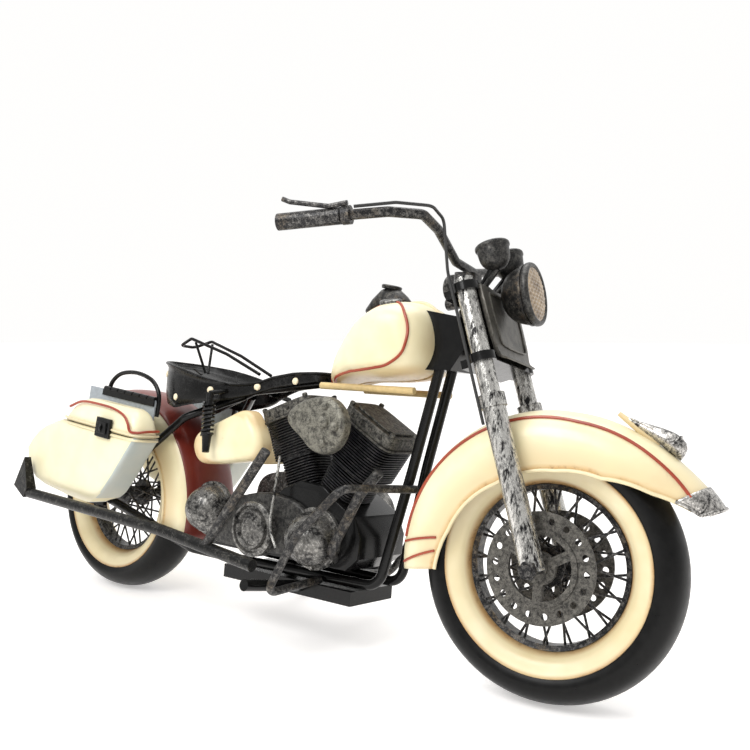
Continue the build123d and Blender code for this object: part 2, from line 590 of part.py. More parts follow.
# ---- tank, saddle, tail ----------------------------------------------------------------------
def make_tank():
    ends = XE + 14.0
    nose = XE + 64.0
    outline = [(ends, ZT + 15.5), (ends + 12.0, ZT + 34.0), (ends + 33.0, ZT + 50.0), (nose - 6.0, ZT + 50.0), (nose, ZT + 40.0),
               (nose - 3.0, ZT + 24.0), (nose - 12.0, ZT + 17.5)]
    face = make_face(Polyline(*[(x, 0, z) for x, z in outline], close=True))
    tank = extrude(face, 23.5, dir=(0, 1, 0), both=True)
    tank = fillet(tank.edges().filter_by(Axis.Y), 3.0)
    tunnel = PIECES["backbone"][0]
    tank = tank - tunnel - PIECES["steering_neck"][0]
    piece("fuel_tank", "frame", tank)
    console = Pos(XE + 40.0, 0, ZT + 52.5) * Box(22.0, 11.0, 5.0)
    console = fillet(console.edges().filter_by(Axis.Z), 4.0)
    piece("tank_console", "frame", console)
    caps = [Pos(XE + 50.0, side * 12.5, ZT + 51.0) * Cylinder(5.0, 2.6) for side in SIDES]
    piece("fuel_caps", "frame", *[cap - tank for cap in caps])
    rails = [rod((XE + 18.0, side * 16.0, ZT + 13.0), (XE + 66.0, side * 14.0, ZT + 12.6), 1.5) for side in SIDES]
    piece("tank_rods", "frame", *rails)


def make_oil_tank():
    outline = [(XE - 50.0, ZA + 30.0), (XE - 36.0, ZA + 44.0), (XE - 14.0, ZA + 49.0), (XE - 6.0, ZA + 30.0), (XE - 12.0, ZA + 22.0),
               (XE - 44.0, ZA + 23.0)]
    solids = []
    for side in SIDES:
        face = make_face(Polyline(*[(x, side * 16.5, z) for x, z in outline], close=True))
        shell = extrude(face, 9.0, dir=(0, side, 0))
        shell = fillet(shell.edges().filter_by(Axis.Y), 4.0)
        solids.append(shell - PIECES["rear_cylinder"][0] - PIECES["rear_rocker_cover"][0])
    piece("side_tanks", "frame", *solids)


def make_saddle():
    rear_x = XE - 92.0
    front_x = XE + 10.0
    with BuildSketch(Plane.XY) as outline:
        with BuildLine():
            Polyline((front_x, 7.0), (XE - 24.0, 9.5), (XE - 48.0, SADDLE_HALF - 2.0), (XE - 60.0, SADDLE_HALF))
            ThreePointArc((XE - 60.0, SADDLE_HALF), (rear_x, 0), (XE - 60.0, -SADDLE_HALF))
            Polyline((XE - 60.0, -SADDLE_HALF), (XE - 48.0, 2.0 - SADDLE_HALF), (XE - 24.0, -9.5), (front_x, -7.0))
            Line((front_x, -7.0), (front_x, 7.0))
        make_face()
    pad = Pos(0, 0, ZT + 10.5) * extrude(outline.sketch, 6.5)
    skirt_top = ZT + 10.5
    back = Pos(XE - 68.0, 0, skirt_top - 5.0) * Box(38.0, 2 * SADDLE_HALF, 10.0)
    back = fillet(back.edges().filter_by(Axis.Z), 9.0)
    hole = PIECES["backbone"][0]
    back = back - Pos(XE - 66.0, 0, skirt_top - 6.0) * Box(60.0, 2 * SADDLE_HALF - 5.0, 10.0)
    piece("saddle", "frame", pad + back - hole)
    studs = []
    for side in SIDES:
        for x, y, z in ((XE - 76.0, SADDLE_HALF, ZT + 4.0), (XE - 58.0, SADDLE_HALF, ZT + 6.0)):
            studs.append(disc(1.6, 1.2, (x, side * (y + 0.6), z)))
        for x, y in ((XE - 33.0, 9.6), (XE - 8.0, 7.9)):
            studs.append(disc(1.5, 1.2, (x, side * (y + 0.6), ZT + 13.5)))
    piece("saddle_studs", "frame", *[s - PIECES["saddle"][0] for s in studs])
    springs = []
    for side in SIDES:
        top = Vector(XE - 40.0, side * 27.5, ZT + 6.5)
        foot = Vector(XE - 36.0, side * 31.0, ZT - 21.0)
        springs.append(rod(top, foot, 1.3) + rod((XE - 40.0, side * 12.0, ZT + 9.0), top, 1.3))
        for i in range(7):
            at = top + (foot - top) * (0.3 + 0.07 * i)
            springs[-1] += Plane(origin=at, z_dir=foot - top) * Cylinder(3.0, 1.1)
    piece("saddle_springs", "frame", *[s - PIECES["saddle"][0] for s in springs])
    hoop = [(XE - 32.0, 4.0, ZT + 17.5), (XE - 55.0, 5.0, ZT + 27.0), (XE - 80.0, 7.0, ZT + 34.5),
            (XE - 91.0, 5.0, ZT + 31.0), (XE - 90.0, -5.0, ZT + 31.0), (XE - 80.0, -7.0, ZT + 34.5),
            (XE - 55.0, -5.0, ZT + 27.0), (XE - 32.0, -4.0, ZT + 17.5)]
    rail = tube(hoop, 0.8, 3.0)
    braces = [rod((XE - 78.0, side * 5.8, ZT + 32.8), (XE - 74.0, 0.9 * side, ZT + 17.2), 0.7) for side in SIDES]
    piece("saddle_rail", "frame", rail)
    piece("rail_braces", "frame", *[b - rail for b in braces])


# ---- saddlebags ------------------------------------------------------------------------------
def bag_place(side):
    """Bag's own frame: x forwards along it, y outwards, origin in the middle of its rim."""
    return Pos(24.5, side * BAG_Y, ZA + 35.3) * Rot(0, BAG_TILT, 0)


def bag_outline():
    """Side view below the rim: a sloping front edge and a swollen rear."""
    half = BAG_L / 2
    points = [(-half, 0), (half, 0), (half - BAG_FRONT, -BAG_H), (-half - 0.5 * BAG_BACK, -BAG_H - 1.0),
              (-half - BAG_BACK, 13.0 - BAG_H)]
    return make_face(Polyline(*[(x, 0, z) for x, z in points], close=True))


def bag_block(face, width, corner):
    """Solid of that side view with its three lower corners rounded."""
    block = extrude(face, width / 2, dir=(0, 1, 0), both=True)
    lower = [e for e in block.edges().filter_by(Axis.Y) if e.center().Z < -0.25 * BAG_H]
    return fillet(lower, corner)


def make_bag(name, side):
    place = bag_place(side)
    corner = 8.0
    inner_w = BAG_W - 2 * BAG_WALL
    outside = bag_block(bag_outline(), BAG_W, corner)
    inside = bag_block(offset(bag_outline(), -BAG_WALL, kind=Kind.INTERSECTION), inner_w, corner - BAG_WALL)
    mouth = Box(BAG_L - 4 * BAG_WALL, inner_w, 4 * BAG_WALL)
    flange_y = -side * (BAG_W / 2 - BAG_WALL / 2)
    plate_h = LID_H + 4.0
    back = Pos(-0.1 * BAG_L, flange_y, plate_h / 2) * Box(0.9 * BAG_L, BAG_WALL, plate_h)
    piece(name + "_bag", "frame", place * (outside - inside - mouth + back))

    lid_w = BAG_W - BAG_WALL - GAP
    lid_y = side * (BAG_WALL + GAP) / 2
    outer = lid_block(BAG_L, lid_w, LID_H)
    inner = Pos(0, 0, -0.1) * lid_block(BAG_L - 2 * BAG_WALL, lid_w - 2 * BAG_WALL, LID_H - BAG_WALL)
    lid = Pos(0, lid_y, GAP) * (outer - inner)
    piece(name + "_lid", name + "_lid", place * lid)
    latch = Pos(8.0, side * (BAG_W / 2 + 1.0), 1.6) * Box(12.0, 1.6, 9.5)
    piece(name + "_latch", name + "_lid", place * latch)

    pin = Pos(0, flange_y, LID_H + 4.0 + HINGE_R) * Rot(0, 90, 0) * Cylinder(HINGE_R, 0.7 * BAG_L)
    piece(name + "_hinge", "frame", place * pin)
    foot_x = 0.34 * BAG_L
    handle_y = flange_y - side * 2.2
    arch = [(-foot_x, handle_y, LID_H - 3.0), (-foot_x, handle_y, LID_H + 16.0),
            (foot_x, handle_y, LID_H + 16.0), (foot_x, handle_y, LID_H - 3.0)]
    piece(name + "_handle", "frame", place * tube(arch, 1.1, 13.0))
    return place * hinge_line(side)


def lid_block(length, width, height):
    """Lid block with long rounded shoulders."""
    half = length / 2
    outline = [(-half, 0), (half, 0), (half - 2.0, height * 0.4), (half - 6.0, height * 0.75),
               (half - 14.0, height), (-half + 19.0, height), (-half + 10.0, height * 0.68)]
    face = make_face(Polyline(*[(x, 0, z) for x, z in outline], close=True))
    return extrude(face, width / 2, dir=(0, 1, 0), both=True)


def hinge_line(side):
    """The lid turns about this line, in the bag's own frame."""
    return Pos(0, -side * (BAG_W / 2 - BAG_WALL / 2), LID_H + 4.0 + HINGE_R)


def make_bag_arms():
    arms = []
    for side in SIDES:
        inner = side * (BAG_Y - BAG_W / 2)
        for x, z in ((-12.0, ZA + 36.0), (30.0, ZA + 32.0)):
            arm = rod((x, side * (FENDER_HALF + 1.0), z), (x, inner, z), 1.8)
            arms.append(arm - PIECES["rear_stays"][0] - PIECES["rear_fender"][0])
    piece("bag_arms", "frame", *arms)


# ---- side stand ------------------------------------------------------------------------------
STAND_PIVOT = Vector(XE - 22.0, RAIL_Y + 8.0, RAIL_Z - 1.0)
STAND_REACH = 30.0
STAND_FOOT_R = 5.0
STAND_FOOT_T = 1.6
STAND_FOLD = Vector(-1.0, 0.22, 0.06).normalized()


def ground_z(y):
    """Height of the leaning motorcycle's ground, in its own upright frame."""
    drop = FRONT_TYRE_HALF * (1 - cos(radians(LEAN)))
    return (y * sin(radians(LEAN)) - drop) / cos(radians(LEAN))


def make_stand():
    foot_y = STAND_PIVOT.Y + STAND_REACH
    foot = Vector(STAND_PIVOT.X - 14.0, foot_y, ground_z(foot_y))
    tilt = Rot(LEAN, 0, 0)
    pad = Pos(*foot) * tilt * Pos(0, 0, STAND_FOOT_T / 2) * Cylinder(STAND_FOOT_R, STAND_FOOT_T)
    bar = rod(STAND_PIVOT, foot + Vector(0, 0, STAND_FOOT_T + 1.1), 1.9)
    down = (foot - STAND_PIVOT).normalized()
    axis = down.cross(STAND_FOLD).normalized()
    eye = disc(3.4, 4.2, STAND_PIVOT, axis)
    bolt_r = 1.5
    bar = (bar + eye) - disc(bolt_r + RUNNING, 20.0, STAND_PIVOT, axis)
    piece("side_stand", "side_stand", bar - pad)
    piece("stand_foot", "side_stand", pad)
    lug_gap = 2.1 + GAP
    bolt = disc(bolt_r, 10.0, STAND_PIVOT, axis)
    ears = [disc(3.2, 2.0, STAND_PIVOT + axis * (s * (lug_gap + 1.0)), axis) - bolt for s in SIDES]
    to_rail = Vector(STAND_PIVOT.X, RAIL_Y, RAIL_Z) - STAND_PIVOT
    to_rail = (to_rail - axis * to_rail.dot(axis)).normalized()
    place = Plane(origin=STAND_PIVOT, x_dir=to_rail, z_dir=axis)
    for s in SIDES:
        ears.append(place * Pos(2.5, 0, s * (lug_gap + 1.0)) * Box(5.0, 5.0, 2.0) - bolt)
    ears.append(place * Pos(5.5, 0, 0) * Box(2.6, 5.0, 2 * lug_gap + 4.0))
    bracket = ears[0] + ears[1] + ears[2] + ears[3] + ears[4] - PIECES["cradle_tubes"][0] - PIECES["skid_plate"][0]
    piece("stand_bracket", "frame", bracket)
    piece("stand_bolt", "frame", bolt)
    return STAND_PIVOT, axis, degrees(acos(max(-1.0, min(1.0, down.dot(STAND_FOLD)))))


# ---- assembly --------------------------------------------------------------------------------
make_wheel("front", FRONT_AXLE, FRONT_TYRE_HALF)
make_wheel("rear", Vector(0, 0, ZA), REAR_TYRE_HALF)
make_brakes()
make_fork()
make_lights()
make_handlebar()
make_cables()
make_front_fender()
make_rear_fender()
make_frame()
make_guards()
make_engine()
make_air_cleaner()
make_exhaust()
make_tank()
make_oil_tank()
make_saddle()
HINGES = {name: make_bag(name, side) for name, side in (("right", -1), ("left", 1))}
make_bag_arms()
STAND = make_stand()

STEERED = ("steering", "front_wheel")
STEER_AXIS = Axis(stem(0), UP_FORK)
LEAN_AXIS = Axis((0, 0, 0), (1, 0, 0))


def rest_pose(shape, body):
    """Steer the fork's pieces and lean everything onto the side stand."""
    if body in STEERED:
        shape = shape.rotate(STEER_AXIS, STEER)
    return shape.rotate(LEAN_AXIS, -LEAN)


# Welded or bolted pieces of one body and one material that share a node, as a group of solids.
JOINED = {
    "front_axle": ("front_axle", "axle_nuts"),
    "rear_axle": ("rear_axle", "rear_axle_nuts"),
    "front_wire_wheel": ("front_rim", "front_spokes"),
    "rear_wire_wheel": ("rear_rim", "rear_spokes"),
    "brake_discs": ("brake_discs", "disc_carriers", "hub_caps"),
    "fork_tubes": ("fork_tubes", "fork_collars"),
    "fork_yokes": ("lower_yoke", "upper_yoke", "steering_stem"),
    "lamp_brackets": ("headlight_bracket", "gauge_stems"),
    "handlebar": ("handlebar", "bar_clamp"),
    "hand_levers": ("hand_levers", "lever_perches"),
    "mirror": ("mirror_shell", "mirror_stem"),
    "fender_brightwork": ("fender_tip", "fender_lamp"),
    "frame_tubes": ("backbone", "cradle_tubes", "rear_stays", "axle_plates"),
    "skid_plate": ("skid_plate", "foot_pegs"),
    "engine_covers": ("gearbox_dome", "cam_dome", "timing_cover", "primary_cover"),
    "cylinders": ("rear_cylinder", "front_cylinder"),
    "rocker_covers": ("rear_rocker_cover", "front_rocker_cover"),
    "air_cleaner": ("air_cleaner", "intake_duct", "cleaner_screws"),
    "exhaust_pipe": ("exhaust_pipe", "fishtail"),
    "headers": ("rear_header", "front_header"),
    "tank_console": ("tank_console", "fuel_caps"),
    "saddle_rail": ("saddle_rail", "rail_braces"),
    "bag_metalwork": ("right_hinge", "left_hinge", "right_handle", "left_handle", "bag_arms"),
    "side_stand": ("side_stand", "stand_foot"),
    "stand_bracket": ("stand_bracket", "stand_bolt"),
}


def gather_nodes():
    """Nodes in order: node name -> (shape, body)."""
    node_of = {part: node for node, parts in JOINED.items() for part in parts}
    groups = {}
    for name, (shape, body) in PIECES.items():
        groups.setdefault(node_of.get(name, name), []).append((shape, body))
    nodes = {}
    for node, members in groups.items():
        solids = [s for shape, _ in members for s in shape.solids()]
        shape = solids[0] if len(solids) == 1 else Compound(children=solids)
        nodes[node] = (shape, members[0][1])
    return nodes


NODES = gather_nodes()
POSED = {name: rest_pose(shape, body) for name, (shape, body) in NODES.items()}
WHOLE = Compound(children=[Compound(shape.wrapped) for shape in POSED.values()]).bounding_box()
ORIGIN = Vector((WHOLE.min.X + WHOLE.max.X) / 2, (WHOLE.min.Y + WHOLE.max.Y) / 2, WHOLE.min.Z)

if __name__ == "__main__":
    for name, shape in POSED.items():
        export_step(Pos(-ORIGIN.X, -ORIGIN.Y, -ORIGIN.Z) * shape, f"parts/{name}.step")
    print(len(POSED), "nodes,", WHOLE.size)
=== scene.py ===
"""Looks of the tin motorcycle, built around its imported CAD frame.

Pieces are drawn in millimetres with the motorcycle upright and its fork straight: +X forwards, +Y to the
rider's left, +Z up, rear axle above the origin. Each place (BIKE, FORK and the bags' own) is the matrix,
read from the CAD joints, that carries such points into the row frame.
"""
import json
from math import atan2, copysign, cos, hypot, pi, radians, sin, sqrt, tau

import bmesh
import bpy
import numpy as np
from mathutils import Matrix, Vector


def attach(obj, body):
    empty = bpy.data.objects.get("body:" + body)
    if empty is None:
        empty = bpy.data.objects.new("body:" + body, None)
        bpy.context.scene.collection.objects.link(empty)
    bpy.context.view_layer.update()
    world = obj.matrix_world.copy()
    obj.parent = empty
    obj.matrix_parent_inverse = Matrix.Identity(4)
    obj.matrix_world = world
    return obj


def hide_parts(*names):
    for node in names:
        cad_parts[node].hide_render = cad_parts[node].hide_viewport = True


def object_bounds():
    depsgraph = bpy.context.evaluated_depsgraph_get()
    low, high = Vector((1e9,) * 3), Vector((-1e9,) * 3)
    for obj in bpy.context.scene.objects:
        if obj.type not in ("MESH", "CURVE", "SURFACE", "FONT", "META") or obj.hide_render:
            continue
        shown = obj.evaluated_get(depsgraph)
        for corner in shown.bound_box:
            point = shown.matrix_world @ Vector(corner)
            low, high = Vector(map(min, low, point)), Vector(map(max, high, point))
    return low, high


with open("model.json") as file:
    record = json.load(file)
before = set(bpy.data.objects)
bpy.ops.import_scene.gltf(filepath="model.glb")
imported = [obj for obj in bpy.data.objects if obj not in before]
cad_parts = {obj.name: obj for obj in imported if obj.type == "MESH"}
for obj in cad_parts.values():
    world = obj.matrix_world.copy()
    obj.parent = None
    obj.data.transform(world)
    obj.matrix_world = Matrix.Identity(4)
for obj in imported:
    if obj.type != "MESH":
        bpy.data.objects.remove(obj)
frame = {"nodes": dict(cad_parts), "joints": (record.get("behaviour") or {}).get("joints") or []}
CAD_LOW, CAD_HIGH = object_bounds()
NODES = frame["nodes"]
JOINTS = {joint["name"]: joint for joint in frame["joints"]}

# ---- sizes, millimetres and degrees
MM = 0.001
SIDES = (-1, 1)                      # right, left
TYRE_R = 50.0
XF, XE = 249, 125                    # front axle, crankshaft
ZA, ZT = TYRE_R, 2 * TYRE_R          # axle height, tyre tops
RAKE = radians(19.3)
LEG_Y = 21.8                         # fork legs, from the middle
FORK_TOP = TYRE_R + 62               # headlight's place up the fork
CRANK = (XE + 16, -4, ZA - 2)        # where the two cylinders meet
CASE_HALF = 17.0                     # half width of the engine case
REAR_FENDER_X, REAR_FENDER_Z = 5, ZA - 4
FIN_PITCH, FIN_WALL = 1.24, 0.55
COIL_TURNS, COIL_R = 8, 2.6          # saddle springs
TIN = 0.9                            # wall of the fenders and lids
HINGE_Y, HINGE_Z = 8.45, 18.4        # lid hinge in the bag's own place
CAMERA_EYE = (386.9, -302.4, 100.0)
CAMERA_FORWARD = (-0.5996, 0.7988, 0.0515)
CAMERA_UP = (-0.0288, -0.0858, 0.9960)
FOCAL_SHARE = 855.0 / 750.0          # focal length over the picture's width


# ---- places
def axis_of(joint):
    """Direction of a packed joint."""
    return Vector(JOINTS[joint]["axis"]).normalized()


def place(origin, x, y, z, zero):
    """Matrix from millimetres to the row frame; the point zero lands on origin."""
    turn = Matrix((x, y, z)).transposed().to_4x4()
    return Matrix.Translation(Vector(origin)) @ turn @ Matrix.Scale(MM, 4) @ Matrix.Translation(-Vector(zero))


LEFT = axis_of("rear_wheel_spin")
FORE = Vector((1, 0, 0))
BIKE = place(JOINTS["rear_wheel_spin"]["pos_m"], FORE, LEFT, FORE.cross(LEFT), (0, 0, ZA))
fork_left = axis_of("front_wheel_spin")
fork_up = axis_of("steering_turn")
fork_ahead = fork_left.cross(fork_up)
FORK = place(JOINTS["front_wheel_spin"]["pos_m"], fork_ahead * cos(RAKE) - fork_up * sin(RAKE), fork_left,
    fork_ahead * sin(RAKE) + fork_up * cos(RAKE), (XF, 0, ZA))
ON_BIKE, ON_FORK = (BIKE, "frame"), (FORK, "steering")


def bag_place(name, side):
    """A bag's own place: x forwards along its rim, y to the left, z up, origin in the rim's middle."""
    along = axis_of(name + "_lid_hinge") * side
    return place(JOINTS[name + "_lid_hinge"]["pos_m"], along, LEFT, along.cross(LEFT),
        (0, -side * HINGE_Y, HINGE_Z))


def leg(s, side=0, ahead=0):
    """Point s up the fork from the axle, as the CAD has it with the fork straight."""
    return Vector((XF - s * sin(RAKE) + ahead * cos(RAKE), side * LEG_Y,
        ZA + s * cos(RAKE) + ahead * sin(RAKE)))


# ---- procedural finishes
class Finish:
    """A Principled material with a few procedural layers."""

    def __init__(self, name, **values):
        self.mat = bpy.data.materials.new(name)
        self.mat.use_nodes = True
        self.nodes = self.mat.node_tree.nodes
        self.links = self.mat.node_tree.links
        self.shader = self.nodes["Principled BSDF"]
        self.coord = self.nodes.new("ShaderNodeTexCoord").outputs["Object"]
        for key, value in values.items():
            self.put(key, value)

    def feed(self, socket, value):
        """Links another node's output, sets any other value."""
        if isinstance(value, bpy.types.NodeSocket):
            self.links.new(value, socket)
        else:
            socket.default_value = value

    def put(self, key, value):
        """Feeds one of the shader's own inputs."""
        self.feed(self.shader.inputs[key.replace("_", " ")], value)
        return self

    def node(self, kind, **inputs):
        """New node with its inputs fed by name."""
        made = self.nodes.new(kind)
        for key, value in inputs.items():
            self.feed(made.inputs[key.replace("_", " ")], value)
        return made

    def noise(self, scale, detail=4, roughness=0.6, stretch=(1, 1, 1)):
        """Grain that stays with the piece."""
        vector = self.coord
        if stretch != (1, 1, 1):
            vector = self.node("ShaderNodeMapping", Vector=vector, Scale=stretch).outputs["Vector"]
        return self.node("ShaderNodeTexNoise", Vector=vector, Scale=scale, Detail=detail,
            Roughness=roughness).outputs["Fac"]

    def span(self, value, low, high, a=0, b=1):
        """value from low..high mapped to a..b, clamped."""
        made = self.node("ShaderNodeMapRange", Value=value, From_Min=low, From_Max=high, To_Min=a, To_Max=b)
        made.clamp = True
        return made.outputs["Result"]

    def mix(self, factor, a, b):
        """Colour between a and b."""
        made = self.nodes.new("ShaderNodeMix")
        made.data_type = "RGBA"
        for index, value in ((0, factor), (6, a), (7, b)):
            self.feed(made.inputs[index], value)
        return made.outputs[2]

    def math(self, operation, a, b):
        """Clamped sum or product."""
        made = self.nodes.new("ShaderNodeMath")
        made.operation = operation
        made.use_clamp = True
        for index, value in ((0, a), (1, b)):
            self.feed(made.inputs[index], value)
        return made.outputs[0]

    def attribute(self, name):
        """Value stored with the points of a mesh."""
        made = self.nodes.new("ShaderNodeAttribute")
        made.attribute_name = name
        return made.outputs["Fac"]

    def bump(self, height, strength, distance):
        """Fine relief."""
        made = self.node("ShaderNodeBump", Height=height, Strength=strength, Distance=distance)
        return self.put("Normal", made.outputs["Normal"])


def rgb(r, g, b):
    """Opaque colour."""
    return (r, g, b, 1)


def grey(level):
    """Opaque neutral grey."""
    return (level, level, level, 1)


def aged_enamel(name, base, pale, tan, brown, aging=1):
    """Hand-painted enamel: tan and brown airbrushed where the shade attribute says an edge is near."""
    f = Finish(name, Specular_IOR_Level=0.4, Coat_Weight=0.25, Coat_Roughness=0.2)
    cloud = f.noise(45, 3)
    grain = f.noise(420, 5, 0.7)
    edge = f.attribute("shade")
    colour = f.mix(f.span(cloud, 0.35, 0.7), base, pale)
    worn = f.math("ADD", f.math("MULTIPLY", edge, f.span(cloud, 0.25, 0.65, 0.35, 1.1)),
        f.span(grain, 0.68, 0.8, 0, 0.12))
    colour = f.mix(f.math("MULTIPLY", f.span(worn, 0.05, 0.85), 0.85 * aging), colour, tan)
    speck = f.math("MULTIPLY", f.span(grain, 0.52, 0.66), f.span(worn, 0.5, 1))
    colour = f.mix(f.math("MULTIPLY", speck, 0.7 * aging), colour, brown)
    f.put("Base_Color", colour).put("Roughness", f.span(grain, 0.3, 0.8, 0.3, 0.5))
    return f.bump(cloud, 0.12, 0.002).mat


def brushed(name, dark, bright, low, high, scale=260, roughness=(0.32, 0.55), stretch=(1, 1, 1), bump=0.3,
        tint=None, gloss=0.3):
    """Dark paint with bright metal dry-brushed over it in patches."""
    f = Finish(name, Specular_IOR_Level=gloss)
    patch = f.noise(scale, 6, 0.72, stretch)
    fine = f.noise(scale * 4, 4, 0.7, stretch)
    both = f.math("ADD", f.math("MULTIPLY", patch, 0.72), f.math("MULTIPLY", fine, 0.28))
    cover = f.span(both, low, high)
    metal = bright if tint is None else f.mix(f.span(f.noise(90, 2), 0.5, 0.72), bright, tint)
    f.put("Base_Color", f.mix(cover, dark, metal)).put("Metallic", f.span(cover, 0, 1, 0.25, 0.95))
    f.put("Roughness", f.span(fine, 0.3, 0.7, *roughness))
    return f.bump(both, bump, 0.0006).mat


def plain(name, colour, roughness, metallic=0, scale=500, bump=0.1, spread=0.35, **extra):
    """One colour, broken up by fine grain in shade and gloss."""
    f = Finish(name, Metallic=metallic, **extra)
    grain = f.noise(scale, 5, 0.65)
    light = tuple(min(1, c * (1 + spread) + 0.002) for c in colour[:3]) + (1,)
    f.put("Base_Color", f.mix(f.span(grain, 0.35, 0.7), colour, light))
    f.put("Roughness", f.span(grain, 0.3, 0.7, roughness * 0.8, min(1, roughness * 1.25)))
    return f.bump(grain, bump, 0.0004).mat


CREAM = aged_enamel("aged_cream", rgb(0.74, 0.65, 0.40), rgb(0.82, 0.75, 0.52), rgb(0.52, 0.29, 0.09),
    rgb(0.10, 0.04, 0.015))
BAG_CREAM = aged_enamel("bag_cream", rgb(0.75, 0.69, 0.46), rgb(0.82, 0.77, 0.56), rgb(0.40, 0.28, 0.12),
    rgb(0.08, 0.05, 0.03))
WALL = aged_enamel("whitewall_cream", rgb(0.72, 0.61, 0.36), rgb(0.80, 0.71, 0.48), rgb(0.42, 0.22, 0.07),
    rgb(0.06, 0.025, 0.01))
RED = aged_enamel("trim_red", rgb(0.26, 0.028, 0.010), rgb(0.38, 0.06, 0.02), rgb(0.12, 0.012, 0.006),
    rgb(0.03, 0.005, 0.004))
BRICK = aged_enamel("brick_red", rgb(0.13, 0.014, 0.008), rgb(0.20, 0.028, 0.014), rgb(0.05, 0.008, 0.006),
    rgb(0.015, 0.004, 0.004))
TYRE = plain("tyre_black", grey(0.004), 0.34, scale=300, bump=0.15, spread=0.2, Specular_IOR_Level=0.16)
GLOSS = plain("gloss_black", grey(0.004), 0.20, scale=350, bump=0.12, spread=0.2, Specular_IOR_Level=0.22)
SEAT = brushed("painted_saddle", grey(0.004), grey(0.07), 0.54, 0.82, 120, (0.2, 0.34), bump=0.15, gloss=0.3)
PIPE = brushed("pipe_black", grey(0.004), rgb(0.16, 0.155, 0.14), 0.52, 0.76, 420.0, (0.25, 0.45), gloss=0.25)
BRIGHT = brushed("bright_tin", grey(0.010), rgb(0.62, 0.60, 0.57), 0.40, 0.58, 330.0, (0.18, 0.35), gloss=0.3)
FORK_METAL = brushed("fork_metal", rgb(0.006, 0.006, 0.007), rgb(0.62, 0.61, 0.58), 0.42, 0.54, 380.0,
    (0.16, 0.32), (1, 1, 0.25))
OLD_METAL = brushed("old_metal", rgb(0.008, 0.008, 0.009), rgb(0.25, 0.24, 0.225), 0.47, 0.72, 520.0,
    (0.25, 0.45), tint=rgb(0.22, 0.16, 0.09))
GUNMETAL = brushed("gunmetal", grey(0.012), rgb(0.14, 0.135, 0.125), 0.44, 0.72, 420.0, (0.28, 0.45))
FIN_METAL = brushed("fin_metal", rgb(0.007, 0.007, 0.008), rgb(0.13, 0.125, 0.12), 0.50, 0.76, 420.0,
    (0.25, 0.45))
ROCKER = brushed("rocker_metal", grey(0.010), rgb(0.20, 0.19, 0.165), 0.44, 0.62, 620.0, (0.4, 0.65),
    bump=0.6)
CLEANER = brushed("cleaner_metal", rgb(0.035, 0.033, 0.028), rgb(0.26, 0.25, 0.21), 0.40, 0.60, 420.0,
    (0.38, 0.6), bump=0.4)
COVER = brushed("cover_metal", grey(0.008), rgb(0.34, 0.33, 0.31), 0.40, 0.66, 200.0, (0.18, 0.32))
DISC = brushed("disc_metal", rgb(0.02, 0.019, 0.017), rgb(0.19, 0.18, 0.16), 0.40, 0.64, 620.0, (0.38, 0.6),
    bump=0.5)
LAMP = brushed("lamp_bronze", grey(0.008), rgb(0.15, 0.14, 0.125), 0.48, 0.70, 420.0, (0.25, 0.45),
    tint=rgb(0.13, 0.09, 0.05))
STUD = plain("stud_cream", rgb(0.72, 0.62, 0.44), 0.4)
TAN = plain("tan_rod", rgb(0.50, 0.37, 0.17), 0.45, scale=220.0)
STEEL_BLUE = plain("plate_grey", rgb(0.30, 0.33, 0.36), 0.4, metallic=0.3)
SHROUD = brushed("shroud_tin", rgb(0.03, 0.028, 0.024), rgb(0.17, 0.16, 0.14), 0.36, 0.66, 200.0, (0.3, 0.5))
# painted shade: grey-blue, tan and brown at its edges, for the bags' faces that look ahead
PAINTED_SHADE_GREY = aged_enamel("bag_front_painted_shade", rgb(0.40, 0.46, 0.46), rgb(0.52, 0.56, 0.53), rgb(0.50, 0.40, 0.24),
    rgb(0.16, 0.12, 0.08))
MIRROR = plain("mirror_glass", rgb(0.55, 0.56, 0.58), 0.08, metallic=1.0, bump=0.02)
DIAL = plain("dial_black", grey(0.012), 0.25, Coat_Weight=0.6)
HOSE = plain("cable_black", grey(0.012), 0.45)


def lens_finish():
    """Aged amber glass with cast cross ribs."""
    f = Finish("aged_lens", Coat_Weight=0.7, Coat_Roughness=0.15, Specular_IOR_Level=0.6)
    stain = f.noise(120, 5, 0.7)
    f.put("Base_Color", f.mix(f.span(stain, 0.38, 0.66), rgb(0.42, 0.31, 0.19), rgb(0.13, 0.085, 0.045)))
    f.put("Roughness", f.span(stain, 0.3, 0.7, 0.25, 0.5))
    return f.bump(stain, 0.4, 0.001).mat


LENS = lens_finish()


# ---- mesh building
def skin(rows, ring=True, loop=False, caps=True):
    """Faces over rows of points: ring closes each row, loop the last to the first, caps the ends."""
    n, m = len(rows), len(rows[0])
    verts = [tuple(p) for row in rows for p in row]
    faces = []
    for i in range(n if loop else n - 1):
        for j in range(m if ring else m - 1):
            k, up = (j + 1) % m, (i + 1) % n
            faces.append((i * m + j, i * m + k, up * m + k, up * m + j))
    if caps and ring and not loop:
        faces.append(tuple(range(m))[::-1])
        faces.append(tuple(range((n - 1) * m, n * m)))
    return verts, faces


def merged(parts):
    """Several (vertices, faces) as one."""
    verts, faces = [], []
    for v, f in parts:
        start = len(verts)
        verts += v
        faces += [tuple(i + start for i in face) for face in f]
    return verts, faces


def placed(name, data):
    """New object of the scene."""
    obj = bpy.data.objects.new(name, data)
    bpy.context.scene.collection.objects.link(obj)
    return obj


